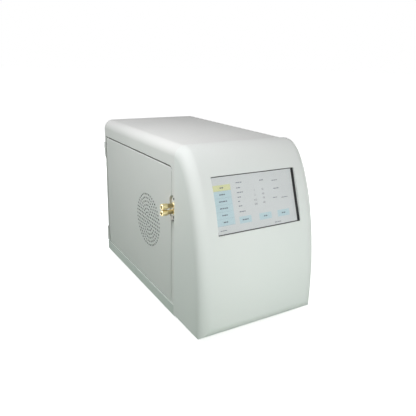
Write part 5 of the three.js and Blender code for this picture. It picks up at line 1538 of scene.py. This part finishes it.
cover = u_slab("pump_window", (-52.6, -49.6), 30, 26)
dress(cover, "clear_plastic", "casing", "pump_cover", edge=0.6, segments=2)
cover_screws = [
    (-52.4, PUMP_DEPTH + side * reach, PUMP_Z + z)
    for reach, z in ((26.8, 20), (19.5, -19)) for side in SIDES
]
add_screws("pump_screw", cover_screws, LEFT, 2.4, 1.4, 40)

hose = u_slab("hose_band", (-40, -33), 23.7, 9.5)
cut(hose, u_slab("inside", (-45, -28), 21.8, 14))
round_edges(clean(hose), 0.8 * MM, 3, math.radians(50))
weld(hose, *[pipe("leg", (-36.5, leg, 106), (-36.5, leg, 140), 2.4, 32) for leg in hose_legs])
dress(hose, "silicone", "casing", "pump_hose", edge=0)

# %% [markdown]
# The carrier is two discs on a hub, with three axles between them and three bites that make it
# lighter. Its rollers turn on the axles as they roll along the hose, so each is a piece of its
# own on a body of its own. Both discs overlap the hub, so they are welded one after the other.

# %% Carrier, rollers and shaft
ROLLER_ROWS = [
    (2, 0.3), (2.4, 0), (5.6, 0), (6.3, 0.8), (6.3, 12.2), (5.6, 13), (2.4, 13), (2, 12.7),
]


def round_pump(radius, degrees):
    """A place (depth, z) at a radius from the pump's axis."""
    angle = math.radians(degrees)
    return (PUMP_DEPTH + radius * math.cos(angle), PUMP_Z + radius * math.sin(angle))


def pump_rods(name, xs, places, radius, sides):
    return [pipe(name, (xs[0], *place), (xs[1], *place), radius, sides) for place in places]


axles = [round_pump(15, degrees) for degrees in (90, 210, 330)]
bites = [round_pump(19, degrees) for degrees in (30, 150, 270)]
spider = pump_pipe("pump_carrier", (-29.7, -27.3), 20, 72)
weld(spider, pump_pipe("front", (-45.7, -43.3), 20, 72))
weld(spider, pump_pipe("hub", (-43.8, -29.2), 7))
weld(spider, *pump_rods("axle", (-45.6, -27.4), axles, 1.6, 24))
cut(spider, pump_pipe("bore", (-60, -20), 3.3, 32))
cut(spider, *pump_rods("bite", (-60, -20), bites, 6.2, 40))
dress(spider, "grey_plastic", "pump_spider", "pump_rotor", edge=0.3)
for name, place in zip(("roller_1", "roller_2", "roller_3"), axles):
    roller = turned(name, ROLLER_ROWS, (-43, *place), -LEFT)
    dress(roller, "fluoropolymer", name, "pump_" + name, edge=0, angle=30)
shaft = pump_pipe("drive_shaft", (-45.7, -4.5), 3)
flat = brick("flat", (-50, -41), (300, 340), (PUMP_Z + 2.4, 120))
dress(cut(shaft, flat), "steel", "pump_spider", "pump_shaft", edge=0.3)

# %% [markdown]
# The gear motor is one turned outline: the gearbox, the groove where it meets the can, the can
# with its rolled rims, and the end cap. Two brass tabs take its wires.

# %% Gear motor
MOTOR_ROWS = [
    (4, -2.5), (6.6, -2.5), (7, -2.1), (7, 0), (18, 0), (18.5, 0.5), (18.5, 21.5), (18.1, 22),
    (17.2, 22), (17.2, 23.2), (18, 23.4), (18, 70), (17.6, 70.6), (17.2, 70.8), (17.2, 72),
    (17.9, 72.2), (17.9, 77.5), (16.6, 79), (6, 79), (6, 80), (0.001, 80), (0.001, 16.3), (4, 16.3),
]
motor = turned("gear_motor", MOTOR_ROWS, (-20.2, *PUMP), -LEFT, 72)
dress(motor, "motor_steel", "casing", "pump_motor", edge=0, angle=30)
tabs = [
    brick("tab", (58.6, 63), (depth - 2.4, depth + 2.4), (97.6, 98.4))
    for depth in (PUMP_DEPTH - 10, PUMP_DEPTH + 10)
]
dress(join(*tabs), "brass", "casing", edge=0.15, name="motor_tabs")

# %% [markdown]
# ## The reactor
#
# Water flows round an ultraviolet lamp in a polished tube. A cap with a water spigot closes each
# end, and two saddle clamps hold the tube to the plate.

# %% Reactor tube and lamp
REACTOR_X, REACTOR_Z = -58, 292
REAR_END, FRONT_END = 86, 296
TUBE_ROWS = [(24.5, 0), (25.7, 0), (26, 0.3), (26, 209.7), (25.7, 210), (24.5, 210)]
LAMP_ROWS = [(0.001, 17), (7.5, 17), (7.5, 193), (0.001, 193)]


def along_reactor(name, rows, sides):
    return turned(name, rows, (REACTOR_X, REAR_END, REACTOR_Z), -BACK, sides)


def lamp_end(low, high):
    rows = [(0.001, low), (8.6, low), (9, low + 0.4), (9, high - 0.4), (8.6, high), (0.001, high)]
    return along_reactor("lamp_end", rows, 48)


dress(along_reactor("reactor_shell", TUBE_ROWS, 96), "steel", "casing", "reactor_tube", edge=0)
dress(along_reactor("lamp_envelope", LAMP_ROWS, 48), "lamp_glass", "casing", "uv_lamp", edge=0)
ends = join(lamp_end(0.3, 18), lamp_end(192, 209.7))
dress(ends, "fluoropolymer", "casing", "uv_lamp", edge=0, name="lamp_ends")

# %% [markdown]
# The caps are turned from a white fluoropolymer that the lamp's light does not harm. Each has
# six screws in its flange, and below it a barbed spigot that grips the water tube.

# %% Reactor caps
CAP_ROWS = [
    (0.001, 0.3), (29.4, 0.3), (30, 0.9), (30, 5.6), (29.2, 6.2), (29.2, 10), (30, 10.6),
    (30, 15.2), (29.2, 16), (13, 20.2), (11, 21.2), (11, 29.4), (10.4, 30), (3.5, 30), (3.5, 26),
    (0.001, 26),
]
BARB_ROWS = [
    (1.6, -9), (2.6, -9), (4, -6.8), (4, -6.4), (3.3, -6.4), (4, -4), (4, -3.6), (3.4, -3.6),
    (3.4, 3), (1.6, 3),
]


def add_cap(end, depth, axis, outward):
    cap = turned("reactor_end_" + end, CAP_ROWS, (REACTOR_X, depth, REACTOR_Z), axis, 96)
    spigot = (REACTOR_X, depth + outward * 10.5, REACTOR_Z - 30)
    cut(cap, pipe("bore", (*spigot[:2], 275), (*spigot[:2], 250), 2.2, 24))
    weld(cap, turned("barb", BARB_ROWS, spigot, UP, 40))
    dress(cap, "fluoropolymer", "casing", "reactor_cap_" + end, edge=0, angle=30)
    screws = []
    for index in range(6):
        angle = math.tau * (index + 0.5) / 6
        x, z = REACTOR_X + 21.5 * math.cos(angle), REACTOR_Z + 21.5 * math.sin(angle)
        screws.append((x, depth + outward * 17.6, z))
    add_screws("cap_screw_" + end, screws, axis, 2.6, 2, 20)


add_cap("rear", REAR_END, BACK, -1)
add_cap("front", FRONT_END, -BACK, 1)

# %% [markdown]
# Each saddle clamp is one bent strip with a screwed foot at either side. The strip's outer
# outline is pushed through as a slab, and the inner outline is cut out of it.

# %% Reactor clamps
HALF_CLAMP = 7


def strap_outline(radius, foot_x):
    arc = [math.pi / 2 + math.pi * i / 32 for i in range(33)]
    outline = [(foot_x, REACTOR_Z + radius)]
    outline += [(REACTOR_X + radius * math.cos(a), REACTOR_Z + radius * math.sin(a)) for a in arc]
    return outline + [(foot_x, REACTOR_Z - radius)]


def strap_slab(name, radius, foot_x, depth, half_width):
    outline = [at(x, depth - half_width, z) for x, z in strap_outline(radius, foot_x)]
    return add_prism(name, outline, (0, -2 * half_width * MM, 0))


def add_clamp(end, depth):
    clamp = strap_slab("strap_" + end, 28.3, -22.3, depth, HALF_CLAMP)
    cut(clamp, strap_slab("inside", 26.3, -17, depth, 12))
    depths = (depth - HALF_CLAMP, depth + HALF_CLAMP)
    foot_heights = ((318.3, 334.3), (249.7, 265.7))
    weld(clamp, *[rounded("foot", (-24.3, -22.3), depths, zs, 0, 2) for zs in foot_heights])
    dress(clamp, "steel", "casing", "reactor_clamp_" + end, edge=0.3)
    screws = [(-24.3, depth, z) for z in (327.5, 256.5)]
    add_screws("clamp_screw_" + end, screws, LEFT, 3, 2, 45, first_turn=30)


add_clamp("rear", 126)
add_clamp("front", 256)

# %% [markdown]
# ## Cells, tubes and boards
#
# Two conductivity cells measure the water before and after the lamp. Each is a flow block with
# a probe held by a hexagonal nut. A nut's corners are chamfered by keeping only what lies inside
# a turned cone, which is how a lathe leaves them.

# %% Cells
CELL_X, CELL_SIDE, CELL_TOP = -47.1, -60.1, 115
CELL_IN, CELL_OUT = 172, 112
CELL_BARB = [
    (0.001, -7), (2.3, -7), (3, -5.4), (3, -5), (2.6, -5), (3, -3), (3, -2.6), (2.6, -2.6),
    (2.6, 1), (0.001, 1),
]
PROBE_CONE = [(0.001, -1), (11, -1), (11, 6.6), (9.4, 8.2), (0.001, 8.2)]
PROBE_ROWS = [
    (0.001, 7), (8, 7), (8, 26.5), (7.2, 28.5), (5, 30), (3.6, 30.2), (3.4, 34), (2.5, 34.4),
    (2.5, 38), (0.001, 38),
]


def add_cell(which, depth):
    node, top = "conductivity_cell_" + which, (CELL_X, depth, CELL_TOP)
    depths = (depth - 13, depth + 13)
    cell = rounded("cell_block_" + which, (CELL_SIDE, -34.1), depths, (81, CELL_TOP), 2, 2.5)
    round_edges(cell, 0.5 * MM, 2)
    weld(cell, turned("barb", CELL_BARB, (CELL_X, depth, 81), UP, 32))
    weld(cell, turned("barb", CELL_BARB, (CELL_SIDE, depth, 98), -LEFT, 32))
    dress(cell, "fluoropolymer", "casing", node, edge=0, name="flow_block_" + which)
    nut = pipe("probe_nut_" + which, top, (CELL_X, depth, CELL_TOP + 8), 10.5, 6)
    keep_inside(nut, turned("cone", PROBE_CONE, top, UP))
    dress(nut, "grey_plastic", "casing", node, edge=0.3)
    probe = turned("probe_" + which, PROBE_ROWS, top, UP)
    dress(probe, "black_plastic", "casing", node, edge=0, angle=30)


add_cell("in", CELL_IN)
add_cell("out", CELL_OUT)

# %% [markdown]
# The two brass ports are screwed through the port plate. A brass nut behind it holds each one.

# %% Port nuts
NUT_X, PORTS_DEPTH, INLET_Z, OUTLET_Z = -129.2, 394, 246.5, 233.5
NUT_CONE = [(0.001, -1), (6.6, -1), (6.6, 3.2), (5.6, 4.2), (0.001, 4.2)]


def add_port_nut(which, z):
    face = (NUT_X, PORTS_DEPTH, z)
    nut = pipe("hex_nut_" + which, face, (NUT_X + 4, PORTS_DEPTH, z), 6.35, 6)
    keep_inside(nut, turned("cone", NUT_CONE, face, -LEFT))
    cut(nut, pipe("bore", (-135, PORTS_DEPTH, z), (-120, PORTS_DEPTH, z), 4.6))
    dress(nut, "brass", "casing", "port_nut_" + which, edge=0.1)


add_port_nut("inlet", INLET_Z)
add_port_nut("outlet", OUTLET_Z)

# %% [markdown]
# The water tubes are soft silicone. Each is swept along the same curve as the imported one: it
# leaves both ends straight, and a longer reach makes it bend later. The curve's two handles at
# an end lie on one spot, so that one number sets each bend.

# %% Water tubes
TUBE_X, CELL_BARB_X, PUMP_HOSE_X = -121.6, -67.1, -36.5
TUBES = {
    "tube_inlet_to_cell": (
        (TUBE_X, PORTS_DEPTH, INLET_Z), -LEFT, 50, (CELL_X, CELL_IN, 74), -UP, 30,
    ),
    "tube_cell_to_reactor": (
        (CELL_BARB_X, CELL_IN, 98), LEFT, 30, (REACTOR_X, 306.5, 253), -UP, 50,
    ),
    "tube_reactor_to_cell": (
        (REACTOR_X, 75.5, 253), -UP, 200, (CELL_X, CELL_OUT, 74), -UP, 50,
    ),
    "tube_cell_to_pump": (
        (CELL_BARB_X, CELL_OUT, 98), LEFT, 50, (PUMP_HOSE_X, hose_legs[0], 140), UP, 50,
    ),
    "tube_pump_to_outlet": (
        (PUMP_HOSE_X, hose_legs[1], 140), UP, 50, (TUBE_X, PORTS_DEPTH, OUTLET_Z), -LEFT, 30,
    ),
}


def add_tube(node, start, start_way, start_reach, end, end_way, end_reach):
    deselect()
    bpy.ops.curve.primitive_bezier_curve_add()
    piece = bpy.context.object
    piece.name = node.replace("tube_", "water_line_")
    curve = piece.data
    ends = ((start, start_way, start_reach), (end, end_way, end_reach))
    for point, (place, way, reach) in zip(curve.splines[0].bezier_points, ends):
        point.handle_left_type = point.handle_right_type = "FREE"
        point.co = at(*place) + 0.3 * MM * way
        point.handle_left = point.handle_right = point.co + reach * MM * way
    curve.resolution_u, curve.bevel_resolution = 40, 4
    curve.bevel_depth, curve.use_fill_caps = 2 * MM, True
    bpy.ops.object.convert(target="MESH")
    dress(bpy.context.object, "silicone", "casing", node, edge=0, angle=50)


for node, path in TUBES.items():
    add_tube(node, *path)

# %% [markdown]
# The control board carries chips with pale legs, a relay, round capacitors and sockets. Its
# components are set by lists of places, so that another board is one more list.

# %% Control board
BOARD_DEPTH, BOARD_Z, BOARD_FACE = 205, 196, -10.6


def on_board(u, v, size_u, size_v, low, high):
    """A brick on the control board: u along the depth, v up, low and high above its face."""
    depth, z = BOARD_DEPTH + u, BOARD_Z + v
    return (
        (BOARD_FACE + low, BOARD_FACE + high),
        (depth - size_u / 2, depth + size_u / 2),
        (z - size_v / 2, z + size_v / 2),
    )


laminate = rounded("control_laminate", (-12.2, BOARD_FACE), (110, 300), (136, 256), 0, 3)
posts = [(BOARD_DEPTH + a * 89, BOARD_Z + b * 54) for a in SIDES for b in SIDES]
cut(laminate, *[pipe("hole", (-14, *post), (-9, *post), 1.6, 20) for post in posts])
dress(laminate, "circuit_board", "casing", "control_board", edge=0.2)
spacers = [pipe("spacer", (-20.2, *post), (-12.2, *post), 3, 6) for post in posts]
dress(join(*spacers), "brass", "casing", "control_board", edge=0.2, name="board_spacers")
add_screws("board_screw", [(BOARD_FACE, *post) for post in posts], -LEFT, 2.6, 1.6, 25)

# %% [markdown]
# A chip is a thin black brick with nine legs along each long side. A socket is a pale block with
# three slots. The capacitors are turned cans with a pinched foot.

# %% Components
CHIPS = [
    (-61, 26, 30, 28), (4, 12, 26, 24), (50, 6, 12, 8), (-20, 34, 12, 8), (-40, -12, 16, 10),
    (30, -18, 10, 14),
]
packages = [rounded("chip", *on_board(u, v, a, b, 0.6, 3), 0, 0.8, 2) for u, v, a, b in CHIPS]
packages.append(brick("relay", *on_board(64.6, 36, 19, 24, 0, 14)))
dress(join(*packages), "black_plastic", "casing", edge=0.3, name="board_chips")
legs = [
    brick("leg", *on_board(u + (i - 4) * a / 10, v + s * (b / 2 + 0.6), 0.9, 1.6, 0, 1.6))
    for u, v, a, b in CHIPS for i in range(9) for s in SIDES
]
dress(join(*legs), "steel", "casing", edge=0, name="board_legs")

SOCKET_V = -43
socket_row = [-19 + 19.6 * step for step in (-1.5, -0.5, 0.5, 1.5)]
sockets = [rounded("socket", *on_board(u, SOCKET_V, 17, 11, 0, 12), 0, 0.6, 2) for u in socket_row]
cut(join(*sockets), *[
    brick("slot", *on_board(u + shift, SOCKET_V, 3.2, 6, 5, 20))
    for u in socket_row for shift in (-4.6, 0, 4.6)
])
dress(sockets[0], "fluoropolymer", "casing", edge=0.2, name="board_sockets")

CAN_ROWS = [
    (0.001, 0), (4.6, 0), (4.6, 1.2), (4.2, 1.6), (4.2, 2), (4.6, 2.4), (4.6, 12.4), (4.2, 13),
    (0.001, 13),
]
cans = [
    turned("can", CAN_ROWS, (BOARD_FACE, BOARD_DEPTH + u, BOARD_Z + v), -LEFT, 32)
    for v in (-26, -38) for u in (50, 62)
]
dress(join(*cans), "motor_steel", "casing", edge=0, name="board_cans")
print("components:", len(packages), "packages,", len(legs), "legs,", len(cans), "cans")

# %% [markdown]
# Some pieces already have their true outline in the frame: brackets, boxes, the small board and
# the ribbon. Each gets a copy with its doubled corners merged and its flat faces made whole, and
# with the same fine bevel as the rest.

# %% Refined copies
REFINED = {
    ("zinc_sheet", "casing"): [
        "front_bulkhead", "chassis_plate", "cell_bracket", "power_supply", "lamp_ballast",
    ],
    ("circuit_board", "casing"): ["display_board"],
    ("display_case", "casing"): ["lcd_module"],
    ("rocker_plastic", "rocker"): ["switch_rocker"],
    ("ribbon", "casing"): ["display_ribbon"],
}


def refine(node, look, body):
    piece = copy_of(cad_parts[node], node + "_fine")
    piece.parent = None
    clean(piece, 0.01 * MM)
    round_edges(piece, 0.3 * MM, 1, math.radians(35))
    smooth(piece)
    return finish(piece, looks[look], body, node, slot=look)


for (look, body), nodes in REFINED.items():
    for node in nodes:
        refine(node, look, body)

# %% [markdown]
# Sheet-metal brackets get the screws that hold them, and rubber grommets line the holes where
# wires pass. The supply's wires end in a terminal strip with five slots.

# %% Grommets, screws and terminal strip
GROMMET_ROWS = [
    (6.6, -1.4), (7, -1.8), (10, -1.8), (10.4, -1.4), (10.4, -0.05), (8.95, -0.05), (8.95, 1.55),
    (10.4, 1.55), (10.4, 2.9), (10, 3.3), (7, 3.3), (6.6, 2.9),
]
WIRE_HOLES = ((68, 292), (142, 166), (385.2, 292))
grommets = [turned("grommet", GROMMET_ROWS, (-22, *hole), -LEFT, 40) for hole in WIRE_HOLES]
dress(join(*grommets), "rubber", "casing", edge=0, name="wire_grommets")
bracket_screws = [(-23.8, depth, z) for depth in (93, 191) for z in (90, 106)]
add_screws("bracket_screw", bracket_screws, LEFT, 2.4, 1.6, 33)
ballast_screws = [(x, depth, 9.8) for depth in (225.5, 354.5) for x in (88, 99)]
add_screws("ballast_screw", ballast_screws, UP, 2.4, 1.6, 28)
strip = rounded("terminal_strip", (22, 66), (190, 203), (45.8, 57), 0, 1, 2)
cut(strip, *[brick("slot", (25 + 8 * i, 30 + 8 * i), (188, 199), (50, 60)) for i in range(5)])
dress(strip, "black_plastic", "casing", edge=0.3)

# %% [markdown]
# ## Stage, light and camera
#
# The instrument stands on a plain pale floor in soft even light. The floor and the sky are white
# to the camera. Every other ray meets a dimmer, slightly green floor, and that shades the lower
# flanks of the case as a real bench does.

# %% Floor and sky
FLOOR_TINT = (0.05, 0.15, 0.065, 1)
SKY_TINT = (0.98, 1.0, 0.99, 1)
SKY_STRENGTH = 0.04


def seen_directly(tree):
    """One for rays from the camera and for those that metal, gloss or glass send on."""
    path = add_node(tree, "LightPath").outputs
    sent_on = maths(tree, "ADD", path["Is Glossy Ray"], path["Is Transmission Ray"])
    return maths(tree, "ADD", path["Is Camera Ray"], sent_on, clamp=True)


def make_floor():
    deselect()
    bpy.ops.mesh.primitive_plane_add(size=40, location=(0, 0, -0.05 * MM))
    floor = bpy.context.object
    floor.name = "floor"
    material, tree, shader = new_material("pale_floor")
    seen = seen_directly(tree)
    tone = use_group(tree, "tone", Size=0.4)["Mask"]
    pale = mix_colours(tree, tone, (0.93, 0.93, 0.93, 1), (0.95, 0.95, 0.95, 1))
    tree.links.new(mix_colours(tree, seen, FLOOR_TINT, pale), shader.inputs["Base Color"])
    place = object_place(tree, 1.0)
    away = add_node(tree, "VectorMath", {0: place}, operation="LENGTH").outputs["Value"]
    level = spread(tree, away, 0.3, 1.2, 0.66, 1.0)
    tree.links.new(maths(tree, "MULTIPLY", seen, level), shader.inputs["Emission Strength"])
    shader.inputs["Emission Color"].default_value = (1, 1, 1, 1)
    shader.inputs["Roughness"].default_value = 0.9
    shader.inputs["Specular IOR Level"].default_value = 0.1
    floor.data.materials.append(material)


def make_sky():
    world = bpy.data.worlds.new("sky")
    bpy.context.scene.world = world
    world.use_nodes = True
    tree = world.node_tree
    tree.nodes.clear()
    white = add_node(tree, "Background", {"Color": (1, 1, 1, 1), "Strength": 1.0})
    soft = add_node(tree, "Background", {"Color": SKY_TINT, "Strength": SKY_STRENGTH})
    ways = {0: seen_directly(tree), 1: soft.outputs[0], 2: white.outputs[0]}
    both = add_node(tree, "MixShader", ways)
    out = tree.nodes.new("ShaderNodeOutputWorld")
    tree.links.new(both.outputs[0], out.inputs["Surface"])


make_floor()
make_sky()
print("floor tint:", FLOOR_TINT, "sky strength:", SKY_STRENGTH)

# %% [markdown]
# Soft rectangles of light stand round the object, none of them visible to the camera. Each has
# one task: the left ones shape the hood and the door, the front one lights the screen's frame,
# and those at the right and the back keep the sides that the photograph hides from going dark.

# %% Lights
def add_light(name, place, target, size, power, tint=(1, 1, 1)):
    place, target = Vector(place), Vector(target)
    aim = (target - place).to_track_quat("-Z", "Y").to_euler()
    deselect()
    bpy.ops.object.light_add(type="AREA", location=place, rotation=aim)
    light = bpy.context.object
    light.name = name
    light.data.shape = "RECTANGLE"
    light.data.size, light.data.size_y = size
    light.data.energy = power
    light.data.color = tint
    light.visible_camera = False
    print("light:", name, power, "W")


BODY = (0, -0.05, 0.2)
add_light("left_softbox", (-1.3, 0.1, 1.3), BODY, (0.8, 0.8), 13, (1.0, 0.99, 1.0))
add_light("left_strip", (-0.3, -0.1, 0.7), (-0.2, -0.1, 0.0), (0.15, 0.6), 0.6)
add_light("left_panel", (-0.55, -0.2, 0.8), (-0.12, -0.1, 0.3), (0.3, 0.6), 1.5)
add_light("front_fill", (0.03, -0.9, 0.29), (0.0, -0.2, 0.19), (0.3, 0.3), 3.7)
add_light("top_fill", (0.1, 0.15, 1.2), (0.0, 0.0, 0.3), (0.5, 0.7), 0.9)
add_light("key", (-0.95, -1.9, 1.1), BODY, (1.0, 1.4), 1.5)
add_light("right_fill", (1.5, 0.3, 0.3), (0, 0, 0.2), (0.9, 0.4), 13)
add_light("back_fill", (0.4, 1.7, 0.2), (0, 0, 0.2), (0.9, 0.3), 12)

# %% [markdown]
# The camera was matched to the photograph's edges. It stands to the left of the front and a
# little above, and is tipped slightly to one side.

# %% Camera
CAMERA_PLACE = (-510.6, -892.8, 521.2)
YAW, PITCH, ROLL = 30.40, 17.79, 1.39
LENS, SHIFT_X, SHIFT_Y = 39.26, 0.0209, -0.0075


def add_camera():
    deselect()
    bpy.ops.object.camera_add(location=Vector(CAMERA_PLACE) * MM)
    camera = bpy.context.object
    yaw, pitch, roll = [math.radians(angle) for angle in (YAW, PITCH, ROLL)]
    reach = math.cos(pitch)
    ahead = Vector((math.sin(yaw) * reach, math.cos(yaw) * reach, -math.sin(pitch)))
    level = Vector((math.cos(yaw), -math.sin(yaw), 0))
    above = level.cross(ahead)
    across = level * math.cos(roll) + above * math.sin(roll)
    upward = above * math.cos(roll) - level * math.sin(roll)
    turn = Matrix((across, upward, -ahead)).transposed()
    camera.rotation_euler = turn.to_euler()
    camera.data.lens, camera.data.sensor_width = LENS, 36
    camera.data.shift_x, camera.data.shift_y = SHIFT_X, SHIFT_Y
    bpy.context.scene.camera = camera


add_camera()
settings = bpy.context.scene.view_settings
settings.view_transform = "Standard"
print("camera at", CAMERA_PLACE, "mm, lens", LENS, "mm")
